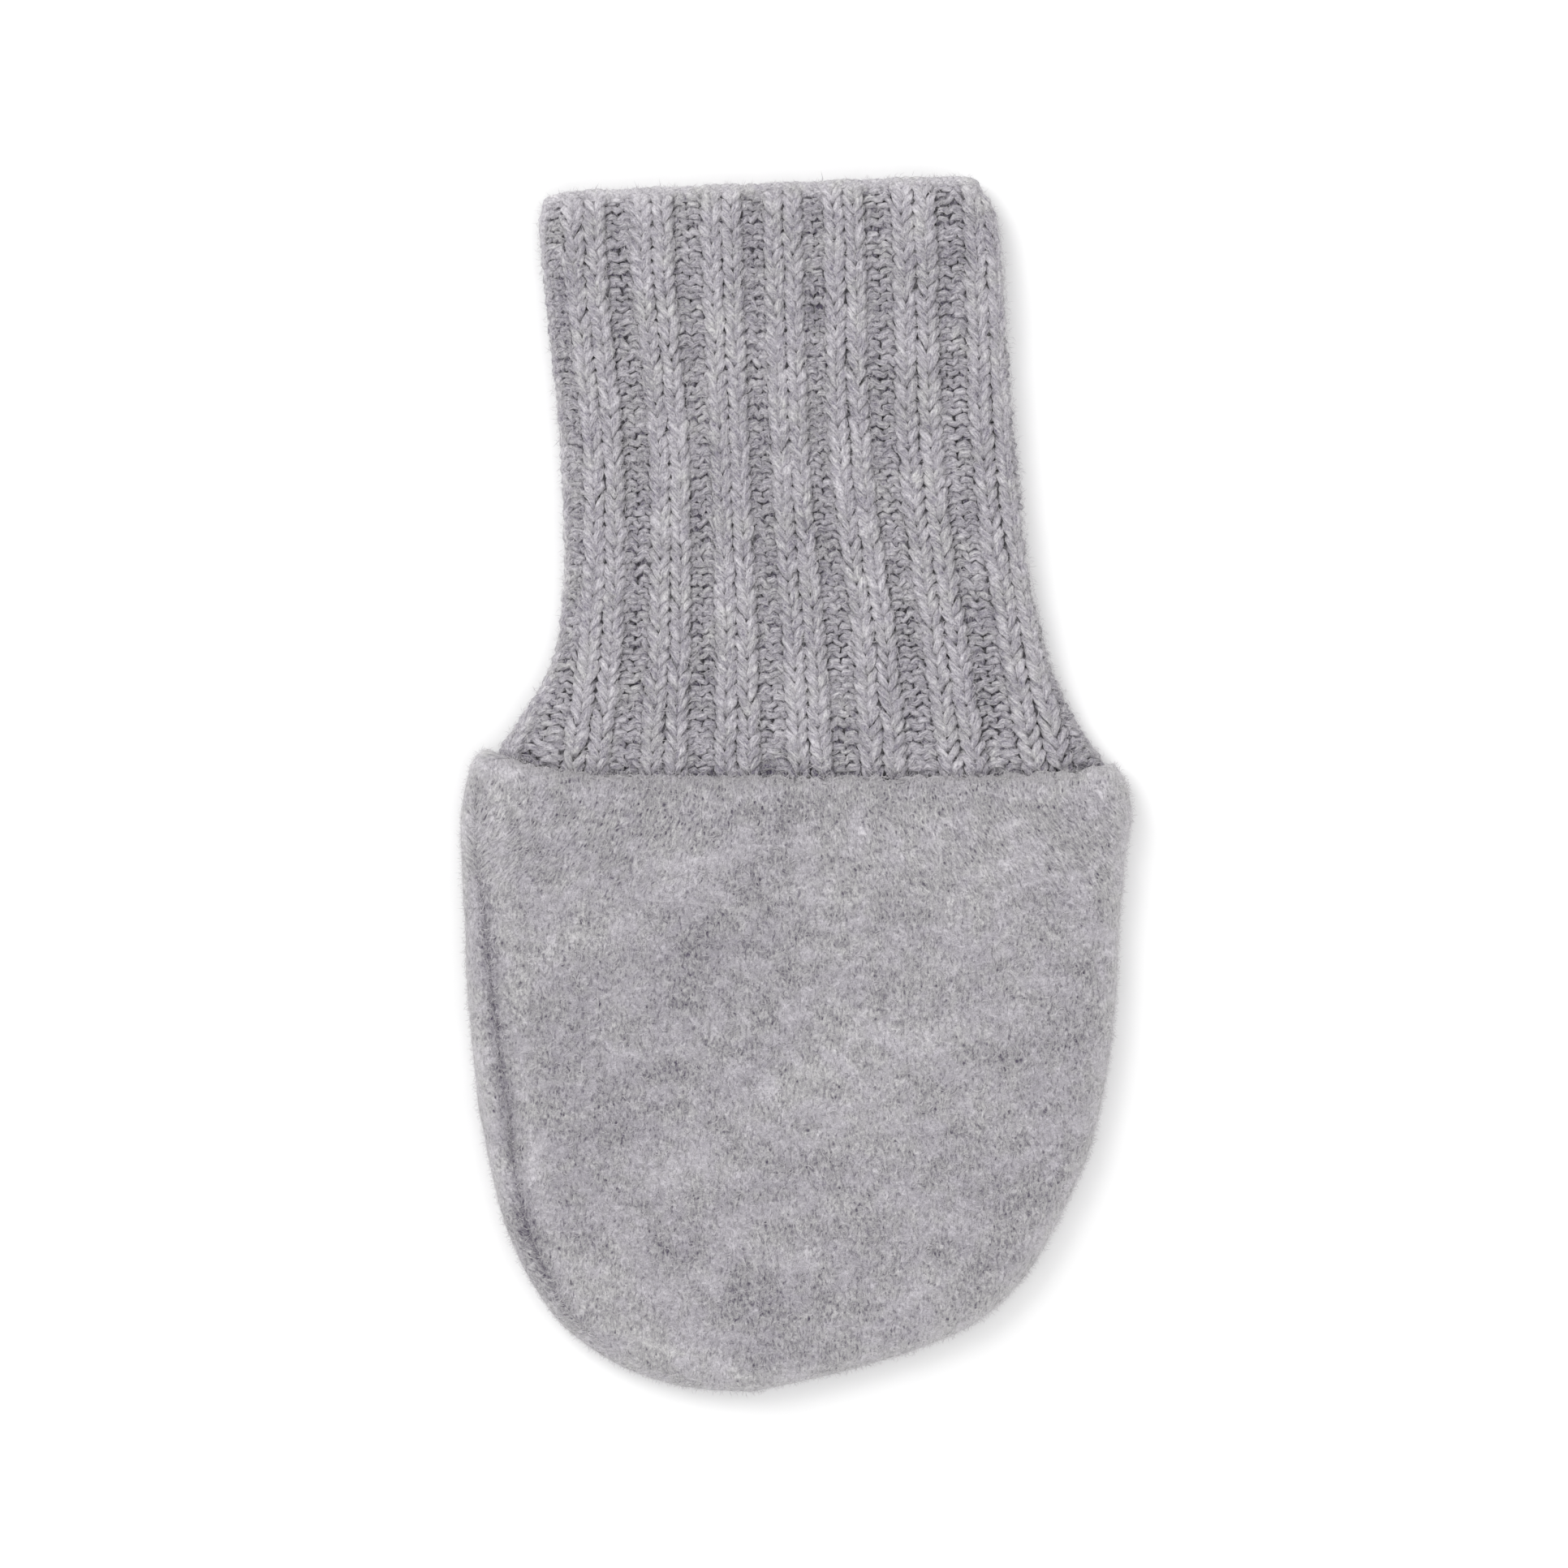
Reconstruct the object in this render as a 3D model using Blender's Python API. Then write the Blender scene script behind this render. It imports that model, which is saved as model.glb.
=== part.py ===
"""Baby mitten without a thumb, laid flat: a brushed wool hand part and a long 2x2 ribbed cuff.

Metres, +Z up. +Y runs from the fingertips to the wrist, +X to the right as the mitten lies.
The mitten rests on Z = 0 and the origin is under the middle of its box.
"""

import bmesh
import bpy
import numpy as np

MM = 0.001

# Cloth
FLEECE_THICKNESS = 2.4          # brushed and felted wool knit
EDGE_RADIUS = 3.3               # half the height of the hand part, and the roll of its edge
RIB_CLOTH_THICKNESS = 2.5       # one layer of the ribbed cuff, measured at a rib
CUFF_RADIUS = 2.9               # half the height of the cuff
RIB_HEIGHT = 0.95               # how far a rib stands over the groove beside it
SEAM_GAP = 0.3                  # between two pieces at their seam

# Side seam of the hand: a groove that the seam pulls in
GROOVE_DEPTH = 0.9
GROOVE_WIDTH = 1.0
MOUTH_DIP = 1.4                 # how far the front sinks into the seam with the cuff

# Middle of the hand, where the left and right halves of a panel's mesh meet
MIDDLE_X = -2.0
MIDDLE_MOUTH_Y = 0.7
PALM_CENTRE_Y = -50.0
MOUTH_SAG_POWER = 5.0

# The hand's outline, one row for each section from the mouth to the fingertips, in mm.
# middle_y is where the section meets the middle line, and sag how quickly it drops to it.
HAND_SECTIONS = [
    # left_x, left_y, right_x, right_y, middle_y, sag
    (-39.8, 4.3, 41.1, 2.1, MIDDLE_MOUTH_Y, MOUTH_SAG_POWER),
    (-40.8, 4.0, 42.0, 1.5, -2.0, 4.4),
    (-41.8, 2.7, 42.7, 0.1, -4.4, 3.4),
    (-42.6, -0.1, 43.2, -2.2, -7.4, 2.4),
    (-43.2, -4.3, 43.3, -5.0, -11.0, 1.6),
    (-43.3, -10.1, 42.6, -10.1, -15.6, 1.2),
    (-42.9, -18.5, 41.9, -18.5, -22.8, 1.0),
    (-42.3, -29.0, 41.4, -29.0, -31.2, 1.0),
    (-41.3, -40.0, 39.9, -39.5, -39.4, 1.0),
    (-39.8, -48.4, 38.0, -47.7, -45.6, 1.0),
    (-37.8, -56.8, 34.0, -56.5, PALM_CENTRE_Y, 1.0),
    (-34.8, -63.8, 29.5, -63.9, PALM_CENTRE_Y, 1.0),
    (-30.6, -69.7, 23.5, -69.7, PALM_CENTRE_Y, 1.0),
    (-24.8, -74.3, 15.6, -73.2, PALM_CENTRE_Y, 1.0),
    (-18.0, -77.3, 6.7, -76.0, PALM_CENTRE_Y, 1.0),
    (-11.9, -78.5, 0.4, -77.6, PALM_CENTRE_Y, 1.0),
    (-5.9, -79.0, -5.9, -79.0, PALM_CENTRE_Y, 1.0),
]
STEPS_PER_SECTION = 2

# Where the side seam runs on the rolled edge: 90 degrees is the top of the roll, 0 its side
# and -90 the underside, and past 90 it lies on the flat front. The front wraps under on the
# right, and the back comes up on the left.
SEAM_ON_ROLL = [
    # share of the way from the left of the mouth round to the right, degrees
    (0.000, 62.0),
    (0.125, 60.0),
    (0.190, 82.0),
    (0.240, 96.0),
    (0.265, 98.0),
    (0.285, 86.0),
    (0.310, 82.0),
    (0.340, 74.0),
    (0.370, 64.0),
    (0.410, 60.0),
    (0.450, 50.0),
    (0.500, 15.0),
    (0.550, -30.0),
    (0.650, -68.0),
    (0.800, -78.0),
    (1.000, -68.0),
]
ROLL_STEPS = (0.0, 0.045, 0.11, 0.2, 0.34, 0.5, 0.67, 0.84, 1.0)
FLAT_STEPS = (0.2, 0.5, 0.78, 1.0)
ROLL_MARGIN = 3.0               # the rolled rows end this far past the roll

# The cuff's outline, one row for each section from its seam up to the wrist edge, in mm.
CUFF_SECTIONS = [
    # left_x, left_y, right_x, right_y, underside_z, top_z
    (-38.8, 4.2, 40.4, 2.5, 0.0, 5.6),
    (-36.6, 7.2, 37.9, 6.2, 0.0, 5.8),
    (-34.1, 10.9, 35.5, 10.7, 0.0, 5.8),
    (-32.0, 15.1, 33.6, 15.3, 0.0, 5.8),
    (-30.7, 20.4, 32.2, 20.8, 0.0, 5.8),
    (-30.2, 27.7, 30.7, 28.2, 0.0, 5.8),
    (-30.3, 37.2, 29.7, 38.0, 0.0, 5.8),
    (-30.9, 46.6, 28.7, 47.8, 0.0, 5.8),
    (-31.9, 56.1, 28.0, 57.5, 0.0, 5.8),
    (-32.9, 65.5, 27.4, 67.4, 0.0, 5.8),
    (-33.4, 71.6, 26.1, 73.7, 0.0, 5.8),
    (-33.1, 74.8, 24.8, 77.1, 0.0, 5.7),
    (-32.3, 76.1, 23.4, 78.6, 0.5, 4.9),
]
CUFF_STATIONS = 19

# Middles of the seven ribs on the front, at some of the cuff's sections, in mm.
RIB_MIDDLES = [
    # share of the sections, rib 1, rib 2, rib 3, rib 4, rib 5, rib 6, rib 7
    (0.00, -27.4, -17.3, -7.6, 2.0, 11.4, 21.8, 32.7),
    (0.33, -25.1, -16.3, -7.7, 0.9, 10.0, 19.0, 28.9),
    (0.54, -24.9, -16.4, -8.5, -0.7, 7.1, 16.1, 25.7),
    (0.76, -27.2, -18.4, -9.5, -1.6, 6.3, 15.4, 24.7),
    (1.00, -27.4, -18.7, -9.8, -1.7, 5.9, 14.8, 24.1),
]
WRIST_SCALLOP = 0.6             # a rib reaches this much further up at the wrist edge
WRIST_SHARE = 0.93              # the scallops start this far up the cuff
COLUMNS_PER_RIB = 6
COLUMNS_PER_SIDE = 7
COLUMNS_UNDER = 12
SIDE_ROLL_END = np.radians(-62.0)    # the ribs end here, above the flat underside
SEAM_SETTLE_SHARE = 0.35        # over this share of its height the cuff takes the seam's curve


def smooth_rows(rows, places):
    """Rows of a table read at fractional row numbers, on a smooth curve through the rows."""
    table = np.array(rows, dtype=float)
    last = len(table) - 1
    padded = np.vstack([2 * table[0] - table[1], table, 2 * table[-1] - table[-2]])
    out = []
    for place in places:
        row = min(int(place), last - 1)
        t = place - row
        before, here, there, after = padded[row:row + 4]
        out.append(0.5 * (2 * here + (there - before) * t
                          + (2 * before - 5 * here + 4 * there - after) * t**2
                          + (3 * here - before - 3 * there + after) * t**3))
    return np.array(out)


def table_at(rows, share):
    """The columns after the first one, read at a value of the first column."""
    table = np.array(rows, dtype=float)
    place = np.interp(share, table[:, 0], np.arange(len(table)))
    return smooth_rows(table[:, 1:], [place])[0]


def roll(arc, depth, radius):
    """Distance in from the outline and height, for a place on a rolled edge.

    arc is measured along the cloth from the side of the roll, upwards, and depth is how
    far under the outer face the place lies. Past the roll the cloth is flat.
    """
    quarter = radius * np.pi / 2
    if abs(arc) <= quarter:
        angle = arc / radius
        return radius - (radius - depth) * np.cos(angle), radius + (radius - depth) * np.sin(angle)
    return radius + abs(arc) - quarter, radius + np.sign(arc) * (radius - depth)


def mouth_y(x):
    """The seam between hand and cuff: it sags from both side edges to the middle."""
    left_x, left_y, right_x, right_y = HAND_SECTIONS[0][:4]
    edge_x, edge_y = (left_x, left_y) if x < MIDDLE_X else (right_x, right_y)
    across = np.clip((x - edge_x) / (MIDDLE_X - edge_x), 0.0, 1.0)
    return edge_y + (MIDDLE_MOUTH_Y - edge_y) * (1 - (1 - across)**MOUTH_SAG_POWER)


class Spoke:
    """One line of the hand's mesh, from a place on the outline in to the middle line."""

    def __init__(self, edge, before, after, middle_y, sag, row, share):
        self.edge = np.array(edge)
        self.middle = np.array([MIDDLE_X, middle_y])
        self.sag = sag
        self.row = row
        start = (self.middle - self.edge) * np.array([1.0, sag])
        along = np.array(after) - np.array(before)
        slant = abs(start[0] * along[1] - start[1] * along[0])
        slant /= np.linalg.norm(start) * np.linalg.norm(along)
        self.speed = np.linalg.norm(start) * max(slant, 0.4)
        self.seam = EDGE_RADIUS * np.radians(table_at(SEAM_ON_ROLL, share)[0])

    def at(self, distance):
        share = min(distance / self.speed, 1.0)
        across = np.array([share, 1 - (1 - share)**self.sag])
        return self.edge + (self.middle - self.edge) * across

    def longest(self):
        return EDGE_RADIUS * (np.pi / 2 - 1) + self.speed

    def place(self, arc, depth):
        distance, height = roll(arc, depth, EDGE_RADIUS)
        if arc > 0 and self.row < 1.5:
            sink = MOUTH_DIP * (1 - self.row / 1.5)**2 * min(1.0, arc / EDGE_RADIUS)
            height -= sink * (1 - depth / FLEECE_THICKNESS * 0.6)
        return np.append(self.at(distance), height)


def hand_spokes():
    places = np.arange((len(HAND_SECTIONS) - 1) * STEPS_PER_SECTION + 1) / STEPS_PER_SECTION
    rows = smooth_rows(HAND_SECTIONS, places)
    rows[:, 4] = np.maximum(rows[:, 4], PALM_CENTRE_Y)
    left = [(row[0], row[1], row[4], row[5], place) for row, place in zip(rows, places)]
    right = [(row[2], row[3], row[4], row[5], place) for row, place in zip(rows, places)]
    lines = left + right[-2::-1]
    spokes = []
    for i, (x, y, middle_y, sag, place) in enumerate(lines):
        before = lines[max(i - 1, 0)][:2]
        after = lines[min(i + 1, len(lines) - 1)][:2]
        spokes.append(Spoke((x, y), before, after, middle_y, max(sag, 1.0), place,
                            i / (len(lines) - 1)))
    return spokes


def panel_line(spoke, side, depth):
    """Points of one spoke of a panel: side is 1 for the front and -1 for the back."""
    shift = SEAM_GAP / 2 * EDGE_RADIUS / (EDGE_RADIUS - depth)
    first = spoke.seam + side * shift
    turn = side * (EDGE_RADIUS * np.pi / 2 + ROLL_MARGIN)
    last = side * spoke.longest()
    points = []
    for step in ROLL_STEPS:
        arc = first + (turn - first) * step
        from_seam = abs(arc - first)
        groove = GROOVE_DEPTH * np.exp(-(from_seam / GROOVE_WIDTH)**2) if depth == 0 else 0.0
        points.append(spoke.place(arc, depth + groove))
    for step in FLAT_STEPS:
        points.append(spoke.place(turn + (last - turn) * step, depth))
    return points


def solid_from_grids(name, outer, inner, closed):
    """A wall between two grids of points, with its rims closed.

    closed is True where the rows of the grids run round in rings.
    """
    rows, columns = len(outer), len(outer[0])
    mesh = bmesh.new()
    out = [[mesh.verts.new(point * MM) for point in row] for row in outer]
    back = [[mesh.verts.new(point * MM) for point in row] for row in inner]
    across = columns if closed else columns - 1
    for i in range(rows - 1):
        for j in range(across):
            k = (j + 1) % columns
            mesh.faces.new((out[i][j], out[i][k], out[i + 1][k], out[i + 1][j]))
            mesh.faces.new((back[i][j], back[i + 1][j], back[i + 1][k], back[i][k]))
    for i in (0, rows - 1):
        for j in range(across):
            k = (j + 1) % columns
            mesh.faces.new((out[i][j], back[i][j], back[i][k], out[i][k]))
    if not closed:
        for i in range(rows - 1):
            mesh.faces.new((out[i][0], out[i + 1][0], back[i + 1][0], back[i][0]))
    bmesh.ops.remove_doubles(mesh, verts=mesh.verts, dist=0.002 * MM)
    bmesh.ops.recalc_face_normals(mesh, faces=mesh.faces)
    bmesh.ops.triangulate(mesh, faces=mesh.faces)
    data = bpy.data.meshes.new(name)
    mesh.to_mesh(data)
    mesh.free()
    data.shade_smooth()
    data.set_sharp_from_angle(angle=np.radians(50))
    piece = bpy.data.objects.new(name, data)
    bpy.context.collection.objects.link(piece)
    return piece


def hand_panel(name, side, spokes):
    outer = [panel_line(spoke, side, 0.0) for spoke in spokes]
    inner = [panel_line(spoke, side, FLEECE_THICKNESS) for spoke in spokes]
    return solid_from_grids(name, outer, inner, closed=False)


def rib_rise(place, middles):
    """1 on the middle of a rib and 0 in the middle of a groove."""
    phase = np.interp(place, middles, np.arange(len(middles)))
    wave = 0.5 + 0.5 * np.cos(2 * np.pi * phase)
    return wave**0.75


def cuff_columns(left_x, right_x, middles):
    """Places across the cuff, unrolled: over the left side, the front, the right side, under."""
    side_arc = CUFF_RADIUS * (np.pi / 2 - SIDE_ROLL_END)
    first = left_x + CUFF_RADIUS - side_arc
    last = right_x - CUFF_RADIUS + side_arc
    front = []
    for here, there in zip(middles[1:-2], middles[2:-1]):
        front += list(np.linspace(here, there, COLUMNS_PER_RIB, endpoint=False))
    front.append(middles[-2])
    left = list(np.linspace(first, front[0], COLUMNS_PER_SIDE, endpoint=False))
    right = list(np.linspace(last, front[-1], COLUMNS_PER_SIDE, endpoint=False))[::-1]
    around = 2 * (right_x - left_x - 2 * CUFF_RADIUS) + 2 * np.pi * CUFF_RADIUS
    under = list(np.linspace(last, first + around, COLUMNS_UNDER + 2)[1:-1])
    return left + front + right + under


def nearer_side(place, left_x, right_x):
    """The side edge that an unrolled place is measured from, and its arc from there.

    Returns the edge's x, 1 or -1 for the way in from it, and the arc, as roll() takes it.
    """
    quarter = CUFF_RADIUS * np.pi / 2
    flat = right_x - left_x - 2 * CUFF_RADIUS
    left_arc = quarter + place - left_x - CUFF_RADIUS
    right_arc = quarter - place + right_x - CUFF_RADIUS
    if right_arc < -quarter - flat:
        return left_x, 1, -2 * quarter - flat - right_arc
    if left_arc < right_arc:
        return left_x, 1, left_arc
    return right_x, -1, right_arc


def rib_fullness(arc):
    """The share of their height that the ribs keep: the folds at the sides stretch them flat."""
    return 0.3 + 0.7 * min(1.0, abs(arc) / (CUFF_RADIUS * np.pi / 2))


def seam_sag(across):
    """How far the seam lies above the straight line between its ends, at a share across."""
    left_x, left_y, right_x, right_y = CUFF_SECTIONS[0][:4]
    seam = mouth_y(left_x + (right_x - left_x) * across) + SEAM_GAP * 1.15
    return seam - left_y - (right_y - left_y) * across


def cuff_ring(station, depth):
    """One section of the cuff: a flattened ring at the outer face, or depth under it."""
    share = station / (CUFF_STATIONS - 1)
    row = smooth_rows(CUFF_SECTIONS, [share * (len(CUFF_SECTIONS) - 1)])[0]
    left_x, left_y, right_x, right_y, underside, top = row
    squeeze = (top - underside) / (2 * CUFF_RADIUS)
    ribs = list(table_at(RIB_MIDDLES, share))
    middles = [2 * ribs[0] - ribs[1]] + ribs + [2 * ribs[-1] - ribs[-2]]
    points = []
    for place in cuff_columns(left_x, right_x, middles):
        edge, way, arc = nearer_side(place, left_x, right_x)
        ribbed = arc > CUFF_RADIUS * SIDE_ROLL_END - 1e-6
        rise = rib_rise(place, middles) if ribbed else 1.0
        sunk = RIB_HEIGHT * (1 - rise) if depth == 0 else 0.0
        sunk *= rib_fullness(arc)
        inward, height = roll(arc, depth + sunk, CUFF_RADIUS)
        x = edge + way * inward
        across = (x - left_x) / (right_x - left_x)
        y = left_y + (right_y - left_y) * across
        if share < SEAM_SETTLE_SHARE:
            y += (1 - share / SEAM_SETTLE_SHARE)**2 * seam_sag(across)
        if share > WRIST_SHARE:
            y -= WRIST_SCALLOP * (1 - rise) * (share - WRIST_SHARE) / (1 - WRIST_SHARE)
        points.append(np.array([x, y, underside + height * squeeze]))
    return points


def cuff_piece():
    stations = range(CUFF_STATIONS)
    outer = [cuff_ring(station, 0.0) for station in stations]
    inner = [cuff_ring(station, RIB_CLOTH_THICKNESS) for station in stations]
    return solid_from_grids("cuff", outer, inner, closed=True)


def wool(name, colour, roughness):
    material = bpy.data.materials.new(name)
    material.use_nodes = True
    shader = material.node_tree.nodes["Principled BSDF"]
    shader.inputs["Base Color"].default_value = (*colour, 1.0)
    shader.inputs["Roughness"].default_value = roughness
    shader.inputs["Metallic"].default_value = 0.0
    return material


def centre_on_box(pieces):
    """Moves the pieces' meshes so that the origin is under the middle of their common box."""
    corners = np.array([vert.co for piece in pieces for vert in piece.data.vertices])
    low, high = corners.min(axis=0), corners.max(axis=0)
    shift = -np.array([(low[0] + high[0]) / 2, (low[1] + high[1]) / 2, low[2]])
    for piece in pieces:
        for vert in piece.data.vertices:
            vert.co = np.array(vert.co) + shift
        piece.data.update()


for thing in list(bpy.data.objects):
    bpy.data.objects.remove(thing, do_unlink=True)

spokes = hand_spokes()
front = hand_panel("hand_front", 1, spokes)
back = hand_panel("hand_back", -1, spokes)
cuff = cuff_piece()
front.data.materials.append(wool("front_wool", (0.45, 0.45, 0.46), 0.95))
back.data.materials.append(wool("back_wool", (0.43, 0.43, 0.44), 0.95))
cuff.data.materials.append(wool("cuff_wool", (0.42, 0.41, 0.42), 0.92))
centre_on_box([front, back, cuff])
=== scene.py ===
import bmesh
import bpy
import numpy as np
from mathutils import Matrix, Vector, noise


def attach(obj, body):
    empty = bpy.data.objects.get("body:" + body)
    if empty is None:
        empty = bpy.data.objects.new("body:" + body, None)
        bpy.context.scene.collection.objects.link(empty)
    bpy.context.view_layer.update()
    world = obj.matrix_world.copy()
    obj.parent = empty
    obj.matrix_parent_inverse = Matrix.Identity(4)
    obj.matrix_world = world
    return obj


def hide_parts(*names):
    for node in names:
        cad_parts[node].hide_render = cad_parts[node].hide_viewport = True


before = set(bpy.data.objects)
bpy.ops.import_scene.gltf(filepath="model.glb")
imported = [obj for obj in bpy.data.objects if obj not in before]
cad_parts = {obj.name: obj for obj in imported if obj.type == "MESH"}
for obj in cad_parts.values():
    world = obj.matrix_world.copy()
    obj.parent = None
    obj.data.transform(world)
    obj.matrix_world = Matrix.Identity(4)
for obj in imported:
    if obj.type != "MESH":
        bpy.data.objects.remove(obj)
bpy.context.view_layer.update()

MM = 0.001

# ---------------------------------------------------------------------------------------------
# Camera, floor and lamps. The mitten lies on a white table and is seen from straight above,
# under soft daylight from the upper left.

CAMERA_HEIGHT = 1.0
VIEW_WIDTH = 202.9 * MM         # across the picture, at the widest part of the mitten
WIDEST_HEIGHT = 3.3 * MM
VIEW_MIDDLE = (-1.56 * MM, 0.09 * MM)
LAMPS = [
    # name, place, size in metres, watts
    ("window", (-0.70, 0.62, 1.05), 0.75, 9.0),
    ("sky", (0.1, -0.1, 1.6), 1.6, 8.7),
    ("wall", (0.80, -0.55, 0.50), 0.9, 2.3),
]
ROOM_LIGHT = 0.55
WHITE = (1.0, 1.0, 1.0, 1.0)
TABLE_PAINT = {"Base Color": (0.93, 0.93, 0.93, 1.0), "Roughness": 0.9, "Specular IOR Level": 0.1,
               "Emission Color": WHITE, "Emission Strength": 0.03}


def new_piece(name, data):
    made = bpy.data.objects.new(name, data)
    bpy.context.collection.objects.link(made)
    return made


camera = new_piece("camera", bpy.data.cameras.new("camera"))
camera.location = (*VIEW_MIDDLE, CAMERA_HEIGHT)
camera.data.sensor_width = 36.0
camera.data.lens = camera.data.sensor_width * (CAMERA_HEIGHT - WIDEST_HEIGHT) / VIEW_WIDTH
camera.data.clip_start = 0.01
bpy.context.scene.camera = camera

for name, place, size, power in LAMPS:
    light = bpy.data.lights.new(name, "AREA")
    light.size, light.energy = size, power
    lamp = new_piece(name, light)
    lamp.location = place
    lamp.rotation_euler = (-Vector(place)).to_track_quat("-Z", "Y").to_euler()

world = bpy.data.worlds.new("room")
world.use_nodes = True
world.node_tree.nodes["Background"].inputs["Color"].default_value = WHITE
world.node_tree.nodes["Background"].inputs["Strength"].default_value = ROOM_LIGHT
bpy.context.scene.world = world
bpy.context.scene.view_settings.view_transform = "Standard"

table = bpy.data.meshes.new("table")
table.from_pydata([(-3, -3, 0), (3, -3, 0), (3, 3, 0), (-3, 3, 0)], [], [(0, 1, 2, 3)])
white_paint = bpy.data.materials.new("white_paint")
white_paint.use_nodes = True
for socket, value in TABLE_PAINT.items():
    white_paint.node_tree.nodes["Principled BSDF"].inputs[socket].default_value = value
table.materials.append(white_paint)
table_top = new_piece("table", table)

# ---------------------------------------------------------------------------------------------
# Hand of the mitten: two U-shaped panels of fine wool knit, brushed and felted until the
# stitches hardly show. They are sewn together round the side and turned, so that the seam is
# a soft groove, and the front panel swells a little over the seam with the cuff.

TABLE_TO_FRAME = np.array([-0.02, 0.3, 0.0])    # the middle of the mitten's box, in mm
FLEECE_THICKNESS = 2.4
EDGE_RADIUS = 3.3               # half the height of the hand part, and the roll of its edge
RESTING = 0.1                   # the cloth's height over the table where it lies flat
PANEL_GAP = 0.012               # between the panels at the bottom of the seam
MIDDLE_X = -2.0
MIDDLE_MOUTH_Y = 0.7
PALM_CENTRE_Y = -50.0
MOUTH_SAG_POWER = 5.0

# The outline, one row for each section from the mouth to the fingertips, in mm.
HAND_SECTIONS = [
    # left_x, left_y, right_x, right_y, middle_y, sag
    (-39.8, 4.3, 41.1, 2.1, MIDDLE_MOUTH_Y, MOUTH_SAG_POWER),
    (-40.8, 4.0, 42.0, 1.5, -2.0, 4.4),
    (-41.8, 2.7, 42.7, 0.1, -4.4, 3.4),
    (-42.6, -0.1, 43.2, -2.2, -7.4, 2.4),
    (-43.2, -4.3, 43.3, -5.0, -11.0, 1.6),
    (-43.3, -10.1, 42.6, -10.1, -15.6, 1.2),
    (-42.9, -18.5, 41.9, -18.5, -22.8, 1.0),
    (-42.3, -29.0, 41.4, -29.0, -31.2, 1.0),
    (-41.3, -40.0, 39.9, -39.5, -39.4, 1.0),
    (-39.8, -48.4, 38.0, -47.7, -45.6, 1.0),
    (-37.8, -56.8, 34.0, -56.5, PALM_CENTRE_Y, 1.0),
    (-34.8, -63.8, 29.5, -63.9, PALM_CENTRE_Y, 1.0),
    (-30.6, -69.7, 23.5, -69.7, PALM_CENTRE_Y, 1.0),
    (-24.8, -74.3, 15.6, -73.2, PALM_CENTRE_Y, 1.0),
    (-18.0, -77.3, 6.7, -76.0, PALM_CENTRE_Y, 1.0),
    (-11.9, -78.5, 0.4, -77.6, PALM_CENTRE_Y, 1.0),
    (-5.9, -79.0, -5.9, -79.0, PALM_CENTRE_Y, 1.0),
]
# Where the side seam runs on the rolled edge: 90 degrees is the top of the roll, 0 its side
# and -90 the underside. Past 90 degrees the seam lies on the flat front.
SEAM_ON_ROLL = [
    # share of the way from the left of the mouth round to the right, degrees, groove depth
    (0.000, 62.0, 0.03),
    (0.125, 60.0, 0.25),
    (0.190, 82.0, 0.60),
    (0.240, 96.0, 0.85),
    (0.265, 98.0, 0.90),
    (0.285, 86.0, 0.80),
    (0.310, 82.0, 0.70),
    (0.340, 74.0, 0.55),
    (0.370, 64.0, 0.35),
    (0.410, 60.0, 0.14),
    (0.450, 50.0, 0.10),
    (0.500, 15.0, 0.20),
    (0.550, -30.0, 0.40),
    (0.650, -68.0, 0.60),
    (0.800, -78.0, 0.60),
    (1.000, -68.0, 0.60),
]
GROOVE_WIDTH = 0.95             # of the side seam
FULL_GROOVE = 0.6               # a groove this deep pulls the stitches beside it fully open, with full painted shade
# How far beside the side seam the stitches are pulled open and the cloth darkened with painted
# shade.
SEAM_OPENING_AND_SHADE = [
    # how much, how far from the seam, how wide
    (0.6, 0.0, 0.55),
    (0.5, 0.0, 1.6),
]
SEAM_SWELL = (0.30, 2.4, 1.2)   # share of the groove's depth, how far from the seam, how wide
SWELL_PAINTED_LIGHT = (0.45, 2.8, 1.5)   # painted light on the swell: how strong, how far from the seam, how wide,
SWELL_LIGHT_ARC = (2.0, 2.0)     # and where it starts on the rolled edge, over how many mm
EDGE_LIGHT_ARC = 4.6             # how far up from its side the rolled edge is painted paler, where its down catches the light
BACK_EDGE_LIGHT = 0.8                 # how strong that painted light is on the back panel
SEAM_DEPTH = (0.85, 0.15, 1.6)  # share of the groove's depth along it: middle, least and most
SEAM_LUMPS = [
    # height, drawn out by, size in mm, seed
    (0.7, (1.0, 1.0, 1.0), 1.7, 5),
    (0.8, (1.0, 1.0, 1.0), 7.0, 8),
]
FELT_RISE = 0.06
FELT_LUMPS = [
    # height, drawn out by, size in mm, seed
    (0.18, (0.7, 1.0, 1.0), 11.0, 1),
    (0.12, (0.8, 1.0, 1.0), 5.0, 2),
    (0.08, (1.0, 1.0, 1.0), 2.4, 3),
]
LIP_DEPTH = 1.4                 # how far the front dips at its seam with the cuff
LIP_WIDTH = 2.0
LIP_START = 0.8                 # in radii of the roll, where the dip starts at the side edges
INNER_LIP = 0.6                 # how much less the inside of the cloth dips
LIP_LUMPS = [
    # how far the lip's edge strays, drawn out by, size in mm, seed
    (0.9, (1.0, 0.3, 0.3), 1.1, 7),
]
LIP_STRAY_WIDTH = 1.2
ROWS_PER_SIDE = 112
LEAST_SLANT = 0.4               # of the spokes to the outline, as a sine
ROLL_STEPS = np.linspace(0.0, 1.0, 24)**1.4     # closer together at the seam
FLAT_STEPS = np.linspace(0.0, 1.0, 36)[1:]
ROLL_MARGIN = 3.0               # the rolled rows end this far past the roll


def smooth_curve(padded, places):
    """Places on a smooth curve through rows, which are padded by one before and two after."""
    row = places.astype(int)
    t = (places - row)[:, None]
    before, here, there, after = (padded[row + k] for k in range(4))
    return 0.5 * (2 * here + (there - before) * t
                  + (2 * before - 5 * here + 4 * there - after) * t**2
                  + (3 * here - before - 3 * there + after) * t**3)


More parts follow.
